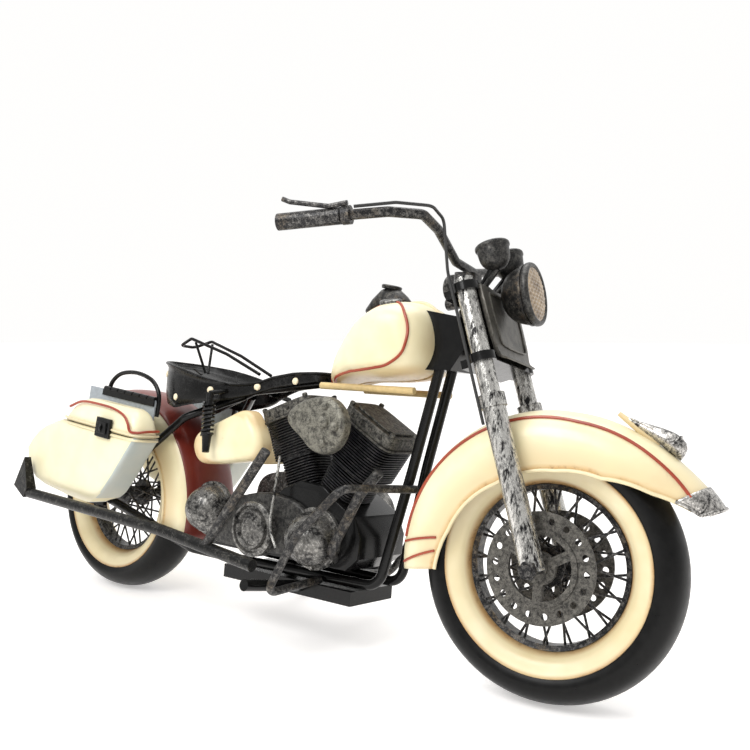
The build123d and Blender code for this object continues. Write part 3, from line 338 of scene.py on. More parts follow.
def add(name, shape, ride, material, nodes=(), shade=None, sharp=38, wall=0, bevel=0):
    """One Blender piece from (vertices, faces); ride is its place and the body it moves with."""
    verts, faces = shape
    where, body = ride
    data = bpy.data.meshes.new(name)
    data.from_pydata([where @ Vector(v) for v in verts], [], faces)
    if shade is not None:
        values = [shade(Vector(v)) if callable(shade) else shade for v in verts]
        data.attributes.new("shade", "FLOAT", "POINT").data.foreach_set("value", values)
    bm = bmesh.new()
    bm.from_mesh(data)
    bmesh.ops.remove_doubles(bm, verts=bm.verts, dist=0.00001)
    bmesh.ops.recalc_face_normals(bm, faces=bm.faces)
    bm.to_mesh(data)
    bm.free()
    data.shade_smooth()
    data.set_sharp_from_angle(angle=radians(sharp))
    data.materials.append(material)
    obj = placed(name, data)
    if wall:
        thick = obj.modifiers.new("wall", "SOLIDIFY")
        thick.thickness = wall * MM
        thick.offset = -1
    if bevel:
        edge = obj.modifiers.new("edges", "BEVEL")
        edge.width = bevel * MM
        edge.segments = 2
        edge.angle_limit = radians(35)
    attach(obj, body)
    if nodes:
        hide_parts(*nodes)
    return obj


def curve(points, steps=6, closed=False):
    """Catmull-Rom curve through points."""
    p = [Vector(q) for q in points]
    n = len(p)
    found = []
    for i in range(n if closed else n - 1):
        a = p[i - 1] if closed or i else p[0] * 2 - p[1]
        b, c = p[i], p[(i + 1) % n]
        d = p[(i + 2) % n] if closed or i + 2 < n else p[-1] * 2 - p[-2]
        for k in range(steps):
            t = k / steps
            found.append(0.5 * (2 * b + (c - a) * t + (2 * a - 5 * b + 4 * c - d) * t * t
                + (3 * b - a - 3 * c + d) * t ** 3))
    if not closed:
        found.append(p[-1])
    return found


def tube(points, radius, sides=10, closed=False):
    """Round bar along points; radius is one number or one for each point."""
    p = [Vector(q) for q in points]
    n = len(p)
    radii = [radius] * n if isinstance(radius, (int, float)) else list(radius)
    rows, normal = [], None
    for i in range(n):
        before, after = (p[i - 1], p[(i + 1) % n]) if closed else (p[max(i - 1, 0)], p[min(i + 1, n - 1)])
        along = (after - before).normalized()
        if normal is None:
            normal = along.orthogonal().normalized()
        normal = (normal - along * normal.dot(along)).normalized()
        side = along.cross(normal)
        rows.append([p[i] + (normal * cos(a) + side * sin(a)) * radii[i] for a in around(sides)])
    return skin(rows, loop=closed)


def lathe(profile, centre, axis=(0, 1, 0), count=48):
    """Surface of revolution: profile is (radius, height along axis) points from centre."""
    axis = Vector(axis).normalized()
    u = axis.orthogonal().normalized()
    v = axis.cross(u)
    rows = [[Vector(centre) + axis * h + (u * cos(a) + v * sin(a)) * max(r, 0.001) for a in around(count)]
        for r, h in profile]
    return skin(rows, caps=False)


def rounded(profile, steps=4):
    """Smooth lathe profile through a few points."""
    return [(q.x, q.y) for q in curve([(r, h, 0) for r, h in profile], steps)]


def closed_line(outline, steps):
    """Smooth closed outline through a few (x, z) points."""
    return [(q.x, q.z) for q in curve([(x, 0, z) for x, z in outline], steps, closed=True)]


def pillow(outline, inner, outer, rim, crown=0, steps=6):
    """Closed form over a side-view outline, its outer edge rounded and its outer face crowned."""
    pts = [Vector((x, 0, z)) for x, z in outline]
    centre = sum(pts, Vector()) / len(pts)
    reach = sum((q - centre).length for q in pts) / len(pts)
    out = 1 if outer > inner else -1

    def ring(scale, y):
        return [centre + (q - centre) * scale + Vector((0, y, 0)) for q in pts]

    rows = [ring(0.02, inner), ring(1, inner)]
    for k in range(steps + 1):
        a = radians(90 * k / steps)
        rows.append(ring(1 - rim * (1 - cos(a)) / reach, outer - out * (rim * (1 - sin(a)) + crown)))
    flat = 1 - rim / reach
    for q in (0.85, 0.65, 0.45, 0.25, 0.02):
        rows.append(ring(flat * q, outer - out * crown * q * q))
    return skin(rows, caps=False)


def slab(size, centre, turn=None):
    """Box of that size about centre."""
    x, y, z = (s / 2 for s in size)
    turn = turn or Matrix.Identity(3)
    verts = [Vector(centre) + turn @ Vector((sx * x, sy * y, sz * z)) for sx in SIDES for sy in SIDES
        for sz in SIDES]
    faces = [(0, 1, 3, 2), (4, 6, 7, 5), (0, 4, 5, 1), (2, 3, 7, 6), (0, 2, 6, 4), (1, 5, 7, 3)]
    return verts, faces


def squircle(half_x, half_y, power=4, count=32):
    """Rounded rectangle as (x, y) points."""
    found = []
    for k in range(count):
        a = tau * (k + 0.5) / count
        c, s = cos(a), sin(a)
        found.append((half_x * copysign(abs(c) ** (2 / power), c), half_y * copysign(abs(s) ** (2 / power),
            s)))
    return found


def lerp(table, x):
    """Straight-line value at x from a short table of (x, value)."""
    return float(np.interp(x, [a for a, _ in table], [b for _, b in table]))


def around(count):
    """Angles that divide a full turn evenly."""
    return [tau * k / count for k in range(count)]


def smooth(x, low, high):
    """0 below low, 1 above high, eased between them."""
    t = min(1, max(0, (x - low) / (high - low)))
    return t * t * (3 - 2 * t)


# ---- wheels
def make_wheel(name, where, centre, half):
    """Tyre with a rounded tread and raised whitewalls; rim, spokes and hub stay CAD."""
    body = name + "_wheel"
    half_tread = [(30.6, 2.6), (32, 5.2), (36.4, half * 0.74), (41.5, half * 0.97), (45, half * 0.9),
        (48.3, half * 0.58), (49.95, 0)]
    profile = rounded(half_tread + [(r, -y) for r, y in reversed(half_tread[:-1])], 4)
    add(name + "_tyre_skin", lathe(profile + [profile[0]], centre, count=96), (where, body), TYRE,
        [name + "_tyre"])
    walls = []
    for side in SIDES:
        band = [(30.7, 3.3), (31.6, 5.6), (34, half * 0.66 + 0.9), (37, half * 0.78 + 0.9),
            (39.2, half * 0.88 + 0.6), (39.6, half * 0.86 - 0.4)]
        band = rounded([(r, side * y) for r, y in band], 4)
        walls.append(lathe(band + [(36, side * half * 0.6), (31.5, side * 2.8), band[0]], centre, count=96))

    def smear(v):
        """Brown at both rims of the whitewall."""
        r = hypot(v.x - centre[0], v.z - centre[2])
        return max(1 - smooth(r, 31, 33), smooth(r, 37.6, 39.4) * 0.9)

    add(name + "_whitewall_skin", merged(walls), (where, body), WALL, [name + "_whitewalls"], smear)


make_wheel("front", FORK, (XF, 0, ZA), 11)
make_wheel("rear", BIKE, (0, 0, ZA), 12.2)


# ---- fenders
def fender_rows(centre_x, angles, crown, skirt, half, tuck, columns=28, centre_z=ZA):
    """Rows of an arched channel; crown, skirt and half depend on the angle, tuck rounds the shoulders."""
    rows = []
    for angle in angles:
        a = radians(angle)
        top, low, w = crown(angle), skirt(angle), half(angle)
        bead = min(tuck, top - low - 0.5)
        section = [(low + (top - bead - low) * q / 8, w) for q in range(8)]
        for k in range(columns + 1):
            t = pi * k / columns
            section.append((top - bead + bead * sin(t) ** 0.9, w * copysign(abs(cos(t)) ** 0.85, cos(t))))
        section += [(low + (top - bead - low) * q / 8, -w) for q in reversed(range(8))]
        rows.append([Vector((centre_x + r * cos(a), y, centre_z + r * sin(a))) for r, y in section])
    return rows


FRONT_CROWN = [(26, 65.5), (30, 64.6), (42, 62), (60, 59.6), (84, 58.6), (120, 59), (190, 60)]
FRONT_SKIRT = [(26, 58.5), (31, 54.9), (40, 48.5), (60, 39.8), (85, 35.6), (105, 34.7), (124, 34.4),
    (139, 35.7), (166, 38), (190, 42.5)]
FRONT_HALF = [(26, 9), (32, 12), (45, 15), (60, 15.6), (150, 15.4), (190, 13.6)]
FRONT_WIRE = [(32, 58.6), (50, 56.8), (80, 54.8), (120, 55.4), (176, 56.4)]


def front_rows(angles, skirt=FRONT_SKIRT, lift=0, widen=0, tuck=13):
    """Rows of the front fender; the tip's cap lies lift and widen outside them."""
    return fender_rows(XF, angles, lambda a: lerp(FRONT_CROWN, a) + lift, lambda a: lerp(skirt, a),
        lambda a: lerp(FRONT_HALF, a) + widen, tuck)


def near_edge(rows):
    """Shade of a fender: brown by the folded edges, the tail and the tip."""
    lows = np.array([(row[0].x, row[0].z) for row in rows])

    def shade(v):
        gap = float(np.min(np.hypot(lows[:, 0] - v.x, lows[:, 1] - v.z)))
        return max(1 - smooth(gap, 0.3, 4.5), 0.45 * (1 - smooth(gap, 2, 15)))
    return shade


def make_front_fender():
    """Deep channel with rolled lips, red piping, tip cap and running lamp."""
    angles = np.linspace(28, 189, 72)
    rows = front_rows(angles)
    add("front_fender_skin", skin(rows, ring=False, caps=False), ON_FORK, CREAM, ["front_fender"],
        near_edge(rows), wall=TIN)
    lips = [tube([row[i] for row in rows], 0.75, 8) for i in (0, -1)]
    add("front_fender_lip", merged(lips), ON_FORK, CREAM, shade=0.25)

    def on_skin(angle, radius, side, lift=0.35):
        """Point on the side of the front fender."""
        row = front_rows([angle])[0]
        flat = [(hypot(q.x - XF, q.z - ZA), abs(q.y)) for q in row[:len(row) // 2 + 1]]
        y = lerp(flat, radius)
        return Vector((XF + (radius + 0.15) * cos(radians(angle)), side * (y + lift),
            ZA + (radius + 0.15) * sin(radians(angle))))

    wires = []
    for side in SIDES:
        arch = [on_skin(a, lerp(FRONT_WIRE, a), side) for a in np.linspace(32, 176, 60)]
        wires.append(tube(arch, 0.62, 8))
        for outer_angle, inner_angle in ((178, 172.5), (186, 179.5)):
            stripe = [on_skin(outer_angle + (inner_angle - outer_angle) * q, 56.5 - 14.5 * q, side)
                for q in np.linspace(0, 1, 8)]
            wires.append(tube(stripe, 0.5, 8))
    add("front_fender_piping", merged(wires), ON_FORK, RED, ["front_fender_trim"], 0.15)

    cap = front_rows(np.linspace(25.4, 33, 8), [(25.4, 59), (33, 53.8)], 0.9, 0.7, 11)
    edges = [cap[0], [row[0] for row in cap], [row[-1] for row in cap]]
    parts = [skin(cap, ring=False, caps=False)] + [tube(edge, 0.7, 8) for edge in edges]
    add("fender_tip_cap", merged(parts), ON_FORK, BRIGHT, ["fender_brightwork"], wall=0.8)

    # running lamp: a long drop, blunt forwards, on a thin pale foot
    a0 = radians(56)
    out = Vector((cos(a0), 0, sin(a0)))
    front = Vector((sin(a0), 0, -cos(a0)))
    base = Vector((XF, 0, ZA)) + out * 60.6
    rows = []
    for s, w, h in ((-13, 0.4, 0.5), (-10, 1.1, 1.6), (-5, 2.2, 3.5), (0, 3.2, 5.4), (4, 3.8, 6.6),
            (7, 4, 6.9), (9.6, 3.7, 6.3), (11.2, 2.7, 4.8), (12, 0.8, 2.4)):
        mid = base + front * s
        rows.append([mid + Vector((0, w * cos(t), 0)) + out * (h * (0.5 + 0.5 * sin(t))) for t in around(20)])
    ridge = ((-11, 1, 1.3), (0, 3.2, 3.6), (6.5, 4.1, 4.6))
    ribs = []
    for side in SIDES:
        rib = [base + front * s + Vector((0, side * w * 0.86, 0)) + out * h for s, w, h in ridge]
        ribs.append(tube(rib, 0.35, 6))
    middle = base + front * 7 + out * 3.4
    band = tube([q + (q - middle).normalized() * 0.15 for q in rows[5]], 0.4, 6, closed=True)
    add("fender_lamp_shell", merged([skin(rows), band] + ribs), ON_FORK, BRIGHT)
    foot = [base + front * s + out * (-0.3 + 0.02 * abs(s)) for s in (-15.5, -8, 0, 3)]
    add("fender_lamp_foot", tube(foot, [0.9, 1.3, 1.6, 1], 8), ON_FORK, CREAM, shade=0.6)


def make_rear_fender():
    """Channel with a brick-red crown and rolled lips."""
    angles = np.linspace(-12, 150, 64)
    rows = fender_rows(REAR_FENDER_X, angles, lambda a: 60.5, lambda a: 40.5, lambda a: 16.4, 9,
        centre_z=REAR_FENDER_Z)
    shell = skin(rows, ring=False, caps=False)
    add("rear_fender_skin", shell, ON_BIKE, CREAM, ["rear_fender"], near_edge(rows), wall=TIN)
    crown = fender_rows(REAR_FENDER_X, angles, lambda a: 60.75, lambda a: 55, lambda a: 16.6, 9.2,
        centre_z=REAR_FENDER_Z)
    columns = slice(11, -11)
    add("rear_fender_crown", skin([row[columns] for row in crown], ring=False, caps=False), ON_BIKE, BRICK,
        shade=lambda v: 0.3 * smooth(abs(v.y), 8, 15), wall=0.3)
    lips = [tube([row[i] for row in rows], 0.7, 8) for i in (0, -1)]
    add("rear_fender_lip", merged(lips), ON_BIKE, CREAM, shade=0.3)


make_front_fender()
make_rear_fender()


# ---- fuel tank
TANK_SIDE = [(139.5, 115), (141.5, 122.5), (151, 135), (161.5, 144.5), (172, 149.8), (182, 150.6),
    (190.5, 147), (195, 138), (195.5, 128.5), (190, 120), (178, 117.2), (158, 116.2), (146, 113.8)]
TANK_PIPE = [(140.2, 115.6), (142.6, 122.6), (151.6, 134.2), (161.6, 143.2), (171.5, 148.6), (179, 149.4),
    (184.6, 146.8), (188.4, 141), (189.6, 134.4), (187.8, 127.4), (182, 122.8), (174, 121), (159, 119.2),
    (150, 117), (143.6, 114.4)]


def tank_depth(x):
    """Half width of the tank's fullest line: slim at the tail."""
    return lerp([(139, 12), (150, 18.5), (162, 22.5), (175, 23.8), (196, 22)], x)


def tank_swell(share):
    """How far the tank's side stands out, at that share of the way from its middle to its outline."""
    return 0.06 + 0.94 * sqrt(max(0, 1 - share ** 4.8))


def make_tank():
    """Two swollen halves, their piping, the seam, the dash and the filler caps."""
    outline = closed_line(TANK_SIDE, 5)
    centre = Vector((172, 0, 132.5))
    for name, side in (("right", -1), ("left", 1)):
        rows = []
        for share in (1, 0.997, 0.99, 0.975, 0.95, 0.92, 0.88, 0.83, 0.77, 0.7, 0.6, 0.48, 0.35, 0.2, 0.08,
                0.01):
            row = []
            for x, z in outline:
                y = side * tank_depth(centre.x + (x - centre.x) * share) * tank_swell(share)
                row.append(centre + (Vector((x, 0, z)) - centre) * share + Vector((0, y, 0)))
            rows.append(row)
        inner = [centre + (Vector((x, 0, z)) - centre) * 0.01 + Vector((0, side * 0.6, 0)) for x,
            z in outline]

        def shade(v):
            low = 1 - smooth(v.z, lerp([(139, 114), (196, 119)], v.x), lerp([(139, 118), (196, 126)], v.x))
            tail = 1 - smooth(v.x, 141, 150)
            return max(0.8 * low, 0.5 * tail, 0.35 * smooth(v.x, 191, 196))

        add(name + "_tank_half", skin([inner] + rows, caps=False), ON_BIKE, CREAM, ["fuel_tank"],
            shade)
        pipe = []
        for q in curve([(x, 0, z) for x, z in TANK_PIPE], 6, closed=True):
            share = min(1, (q - centre).length / max(0.1, edge_reach(outline, centre, q)))
            pipe.append(Vector((q.x, side * (tank_depth(q.x) * tank_swell(share) + 0.3), q.z)))
        add(name + "_tank_piping", tube(pipe, 0.62, 8, closed=True), ON_BIKE, RED, shade=0.12)
    seam = curve([(141, 0, 117), (151, 0, 133.6), (162, 0, 143.6), (173, 0, 149.4), (184, 0, 150),
        (192, 0, 145)], 6)
    add("tank_seam", tube(seam, 1.6, 10), ON_BIKE, CREAM, shade=0.5)

    # dash: a low rounded hood with a dial, and the two filler caps
    rows = []
    for s, w, h in ((0, 0.6, 0.5), (1.5, 3.4, 2.6), (5, 5, 5.4), (9, 5.7, 7.2), (13, 5.9, 7.6),
            (17, 5.6, 6.4), (20, 4.8, 4.2), (22.5, 3.2, 1.8), (23.5, 0.6, 0.6)):
        mid = Vector((XE + 28 + s, 0, lerp([(0, ZT + 47), (10, ZT + 51), (23.5, ZT + 50.6)], s)))
        rows.append([mid + Vector((0, w * cos(t), h * sin(t) * (1 if sin(t) > 0 else 0.25)))
            for t in around(24)])
    dial_at = Vector((XE + 40.5, 0, ZT + 57.6))
    dial = lathe([(4.4, 0), (4.6, 1.2), (4.1, 1.6), (3.8, 1.2), (0, 1.2)], dial_at, (0.15, 0, 1), 32)
    flange = lathe([(6.9, 0), (7, 0.9), (0, 1)], Vector((XE + 44, 0, ZT + 51)), (0, 0, 1), 32)
    add("dash_hood", merged([skin(rows), dial, flange]), ON_BIKE, LAMP, ["tank_console"])
    caps = [lathe(rounded([(4.6, 0), (4.8, 1.4), (4, 2.3), (1.4, 2.6), (0, 2.7)], 3),
        Vector((XE + 50, side * 12.5, ZT + 48.6)), (0, side * 0.25, 1), 28) for side in SIDES]
    add("filler_caps", merged(caps), ON_BIKE, COVER)



def edge_reach(outline, centre, q):
    """Distance from centre to the outline in the direction of q."""
    way = atan2(q.z - centre.z, q.x - centre.x)
    spokes = [(atan2(z - centre.z, x - centre.x), hypot(x - centre.x, z - centre.z)) for x, z in outline]
    turns = [(abs(atan2(sin(t - way), cos(t - way))), r) for t, r in spokes]
    nearest = sorted(turns)[:2]
    total = nearest[0][0] + nearest[1][0] + 1e-9
    return (nearest[0][1] * nearest[1][0] + nearest[1][1] * nearest[0][0]) / total


make_tank()


# ---- saddle
SEAT_HALF = [(33, 0), (34, 7), (37, 13), (42, 18.2), (50, 22.2), (60, 24), (72, 23.4), (82, 19.6),
    (92, 13.6), (101, 10.2), (115, 8.6), (130, 7.6), (134, 5), (135, 0)]
SEAT_RIM = [(33, 121), (48, 118.5), (64, 115.4), (76, 112.6), (88, 110.8), (98, 112.2), (108, 115.6),
    (120, 117.8), (135, 118.6)]
SEAT_SPINE = [(33, 120), (48, 114), (64, 110.4), (78, 109.8), (90, 112), (104, 116.4), (120, 119.2),
    (135, 119)]
SEAT_DROP = [(33, 11), (40, 15.5), (46, 18.6), (55, 18.8), (64, 15.4), (74, 11.4), (88, 6.4), (100, 4.6),
    (120, 5), (135, 3.6)]


def make_saddle():
    """Sprung saddle: dished pressing with a skirt, studs, seam and coils."""
    half = curve([(x, y, 0) for x, y in SEAT_HALF], 4)
    outline = half + [Vector((p.x, -p.y, 0)) for p in reversed(half[1:-1])]
    spine_low, spine_high = 52, 126

    def ring(scale, lift, level):
        """level 0 is the rim, 1 the spine; below the rim lift counts down the skirt."""
        row = []
        for p in outline:
            mid_x = min(max(p.x, spine_low), spine_high)
            x = mid_x + (p.x - mid_x) * scale
            rim, spine = lerp(SEAT_RIM, x), lerp(SEAT_SPINE, x)
            row.append(Vector((x, p.y * scale, rim + (spine - rim) * level - lift * lerp(SEAT_DROP, p.x))))
        return row

    rows = [ring(0.97, 1, 0), ring(0.995, 0.8, 0), ring(1, 0.45, 0), ring(0.985, 0.16, 0),
        ring(0.985, 0.06, 0), ring(1.02, 0, 0), ring(1.025, -0.06, 0), ring(0.985, -0.07, 0),
        ring(0.93, 0.05, 0.08), ring(0.85, 0.08, 0.3), ring(0.7, 0, 0.62), ring(0.5, 0, 0.85),
        ring(0.25, 0, 0.97), ring(0.03, 0, 1)]
    add("saddle_shell", skin(rows, caps=False), ON_BIKE, SEAT, ["saddle"], wall=TIN, sharp=60)
    lip = tube([p + Vector((0, 0, 0.1)) for p in rows[6]], 0.75, 8, closed=True)
    add("saddle_lip", lip, ON_BIKE, SEAT)
    studs = []
    for side in SIDES:
        for x, share in ((40.5, 0.30), (56, 0.72), (78, 0.42), (99, 0.30), (120.5, 0.62)):
            y = side * lerp(SEAT_HALF, x)
            z = lerp(SEAT_RIM, x) - share * lerp(SEAT_DROP, x)
            tip = lerp(SEAT_HALF, x + 1.5) - lerp(SEAT_HALF, x - 1.5)
            out = Vector((-tip, 3 * side, 0)).normalized()
            studs.append(lathe(rounded([(1.75, 0), (1.6, 0.6), (0.9, 1), (0, 1.1)], 3),
                Vector((x, y, z)) - out * 0.2, out, 16))
    add("saddle_stud_heads", merged(studs), ON_BIKE, STUD, ["saddle_studs"])
    stitch = curve([(44.5, -3.4, 119.2), (47, 0, 116.4), (44.5, 3.4, 119.2)], 5)
    add("saddle_seam", tube(stitch, 0.45, 6), ON_BIKE, OLD_METAL)

    coils = []
    for side in SIDES:
        top = Vector((XE - 40, side * 27.5, ZT + 6.5))
        foot = Vector((XE - 36, side * 31, ZT - 21))
        down = foot - top
        u = down.orthogonal().normalized()
        v = down.normalized().cross(u)
        helix = []
        for k in range(COIL_TURNS * 12 + 1):
            a = tau * k / 12
            ring = u * cos(a) + v * sin(a)
            helix.append(top + down * (0.16 + 0.56 * k / (COIL_TURNS * 12)) + ring * COIL_R)
        coils.append(tube(helix, 0.62, 6))
        coils.append(tube([top, foot], [1.7, 1.3], 12))
        coils.append(tube([top + down * 0.68, top + down * 0.74, foot], [3, 2.2, 1.6], 12))
        coils.append(tube([top + Vector((0, -side * 15.5, 2.5)), top], 1.3, 10))
    add("saddle_spring_coils", merged(coils), ON_BIKE, GLOSS, ["saddle_springs"])


make_saddle()


# ---- side tanks, engine
def make_side_tanks():
    """Oil tanks under the saddle."""
    outline = [(71, 80.6), (72.6, 86), (79, 90.2), (88, 93.8), (96, 97.2), (102.5, 99.6), (107.5, 98.2),
        (112, 92.6), (115.4, 86), (115.2, 80.6), (111.4, 77.4), (96, 74.6), (80.4, 72.9), (74, 75)]
    smooth_outline = closed_line(outline, 5)
    halves = [pillow(smooth_outline, side * 15.5, side * 26, 4.5, 1) for side in SIDES]
    centre = Vector((95, 0, 85.5))

    def shade(v):
        reach = hypot((v.x - centre.x) / 22, (v.z - centre.z) / 12.5)
        return max(0.75 * smooth(reach, 0.82, 1.02), 0.55 * (1 - smooth(v.x, 74, 90)) * smooth(92 - v.z, 0,
            8))

    add("side_tank_shells", merged(halves), ON_BIKE, CREAM, ["side_tanks"], shade)


def cylinder_place(tilt):
    """Matrix of a cylinder's own place in the bike's millimetres: z up its bore from the crankshaft."""
    turn = Matrix.Rotation(radians(tilt), 4, "Y")
    return Matrix.Translation(Vector(CRANK)) @ turn


def make_cylinders():
    """Finned barrels and heads with their rocker boxes."""
    fins, covers, pins = [], [], []
    for tilt in (-20, 30):
        at = cylinder_place(tilt)

        def plate(half_x, half_y, low, high, power=5, shift=0, at=at):
            """Rounded slab across the bore."""
            ring = squircle(half_x, half_y, power)
            return skin([[at @ Vector((x + shift, y, z)) for x, y in ring] for z in (low, high)])

        fins.append(plate(8, 8.4, 17, 36, 3))
        fins.append(plate(11.8, 10.4, 34, 53.5, 3))
        for i in range(12):
            z = 20.2 + FIN_PITCH * i
            fins.append(plate(9.6 + 0.05 * i, 10.6, z, z + FIN_WALL))
        for i in range(14):
            z = 35.6 + FIN_PITCH * i
            fins.append(plate(13.5 + 0.08 * i, 12, z, z + FIN_WALL))
        covers.append(plate(15.5, 13, 52.9, 54, 6))
        covers.append(plate(14.9, 12.4, 54, 59.4, 6))
        covers.append(plate(11.6, 9.6, 59.4, 60.4, 6))
        for sx in SIDES:
            for sy in SIDES:
                pins.append(tube([at @ Vector((sx * 12.6, sy * 10.4, z)) for z in (59, 60.8)], 1.3, 6))
        for sx in (-9, -3, 3, 9):
            pins.append(tube([at @ Vector((sx, y, 56.8)) for y in (-12.2, -13.2)], 1, 8))
    add("cylinder_fins", merged(fins), ON_BIKE, FIN_METAL, ["cylinders"], bevel=0.15)
    add("rocker_boxes", merged(covers + pins), ON_BIKE, ROCKER, ["rocker_covers"], bevel=0.5)


def make_case():
    """Crankcase, its covers on both sides and the brake rod."""

    lower = [(XE - 45.5, 42), (XE - 43, 56), (XE - 24, 60.5), (XE - 6, 60.5), (XE + 2, 67), (XE + 12, 70.6),
        (XE + 24, 69.6), (XE + 34, 63), (XE + 42, 58.5), (XE + 45.8, 50), (XE + 45.2, 41), (XE + 39, 35.4),
        (XE - 45.5, 35.2)]
    half = [pillow(lower, 0, side * CASE_HALF, 1.6, 0, 3) for side in SIDES]
    add("crankcase", merged(half), ON_BIKE, GLOSS, ["engine_case"], sharp=30)

    face = -CASE_HALF
    parts = []
    for x, z, r, bulge in ((XE - 42, ZA + 2, 11.5, 14), (XE + 23, ZA - 3, 12, 15)):
        dome = rounded([(r + 1.4, 0), (r + 1.4, -1.8), (r, -2.2), (r * 0.93, -bulge * 0.45),
            (r * 0.66, -bulge * 0.82), (r * 0.3, -bulge * 0.98), (0, -bulge)], 4)
        parts.append(lathe(dome, (x, face, z), count=40))
        for k in range(6):
            a = tau * (k + 0.5) / 6
            rim = r + 0.4
            parts.append(tube([(x + rim * cos(a), face + y, z + rim * sin(a)) for y in (0, -3)], 1, 6))
    rings = [(12.4, 0), (12.4, -6), (11.6, -7), (10.6, -7), (10, -5.6), (9.2, -5.6), (8.6, -7.4),
        (7.6, -7.4), (7, -6.2), (4, -6.8), (2.4, -6.2), (0, -6.8)]
    parts.append(lathe(rings, (XE - 10.5, face, ZA - 3.2), count=40))
    add("engine_cover_domes", merged(parts), ON_BIKE, COVER, ["engine_covers"])

    chest = [(XE - 40, 40), (XE - 34, 54), (XE - 12, 63), (XE + 12, 61), (XE + 22, 50), (XE + 18, 38.5),
        (XE - 30, 37)]
    chest = closed_line(chest, 4)
    primary = [(XE - 48, 50), (XE - 46, 64), (XE - 34, 70), (XE - 6, 72), (XE + 18, 71), (XE + 32, 63),
        (XE + 34, 50), (XE + 26, 41), (XE, 38.5), (XE - 30, 38.5), (XE - 44, 41.5)]
    primary = closed_line(primary, 4)
    left = [pillow(primary, CASE_HALF, CASE_HALF + 11.6, 4, 1)]
    left.append(lathe(rounded([(8.4, 0), (8, 1.6), (5, 2.4), (0, 2.6)], 3),
        (XE + 16, CASE_HALF + 10.4, ZA + 6), count=32))
    left.append(lathe(rounded([(6.4, 0), (6, 1.6), (3.6, 2.2), (0, 2.4)], 3),
        (XE - 32, CASE_HALF + 10.4, ZA + 5), count=32))
    add("primary_cover_shell", merged(left), ON_BIKE, COVER)
    add("gearcase_cover", pillow(chest, face + 0.5, face - 3.4, 1.6, 0.6), ON_BIKE, GUNMETAL)
    rod = curve([(XE + 1, -20.5, 80.5), (XE + 1.4, -22.5, 66), (XE + 1.2, -23.5, 50), (XE + 6, -24, 41)], 6)
    add("brake_rod", tube(rod, 0.65, 8), ON_BIKE, FORK_METAL)


def make_air_cleaner():
    """Drop-shaped cover with its duct and screws."""
    outline = [(140.4, 97.6), (142.2, 101.6), (148, 105.2), (157, 107.6), (164.2, 106.8), (169.6, 102.4),
        (171.8, 96.6), (170.2, 90.2), (166.4, 86), (160.8, 84), (154.6, 85.6), (149.2, 89.8), (143.2, 94)]
    outline = closed_line(outline, 4)
    body = pillow(outline, -29.5, -35.6, 2.2, 0.8)
    back = pillow([(156 + (x - 156) * 0.9, 96 + (z - 96) * 0.9) for x, z in outline], -27.5, -30.5, 0.8)
    duct = lathe([(5, 0), (5, 14)], (XE + 30, -28, ZA + 44), (0, 1, 0), 24)
    parts = [body, back, duct]
    for x, z, r, h in ((153.6, 97.3, 1.7, 1.2), (161.6, 97.3, 3.2, 2.4), (167.3, 95.6, 2.4, 1.9),
            (161.9, 103.8, 1.8, 1.4), (161.6, 88.6, 2.1, 1.5), (145.2, 98.6, 1.2, 0.8)):
        parts.append(lathe(rounded([(r, 0.6), (r, 0), (r * 0.72, -h * 0.72), (0, -h)], 3), (x, -35, z),
            count=20))
    add("air_cleaner_cover", merged(parts), ON_BIKE, CLEANER, ["air_cleaner"])


make_side_tanks()
make_cylinders()
make_case()
make_air_cleaner()


# ---- saddlebags

def bag_span(z):
    """Rear and front of the bag's side view at height z below its rim."""
    front = [(-37.4, 0), (-36, 2), (-32.5, 9.5), (-21, 17.5), (-9, 24.5), (0, 29.6)]
    rear = [(-37.4, -24), (-35.6, -44), (-29, -54.5), (-20, -58.5), (-11.5, -53), (-4.6, -42), (0, -29.6)]
    return lerp(rear, z), lerp(front, z)


def paint_front_shade(shell, where):
    """Painted shade: the faces that look ahead turn grey-blue, painted in place of the shade that falls on
    the cream there.
    """
    shell.data.materials.append(PAINTED_SHADE_GREY)
    ahead = (where.to_3x3() @ Vector((1, 0, 0))).normalized()
    for face in shell.data.polygons:
        if face.normal.dot(ahead) > 0.55:
            face.material_index = 1


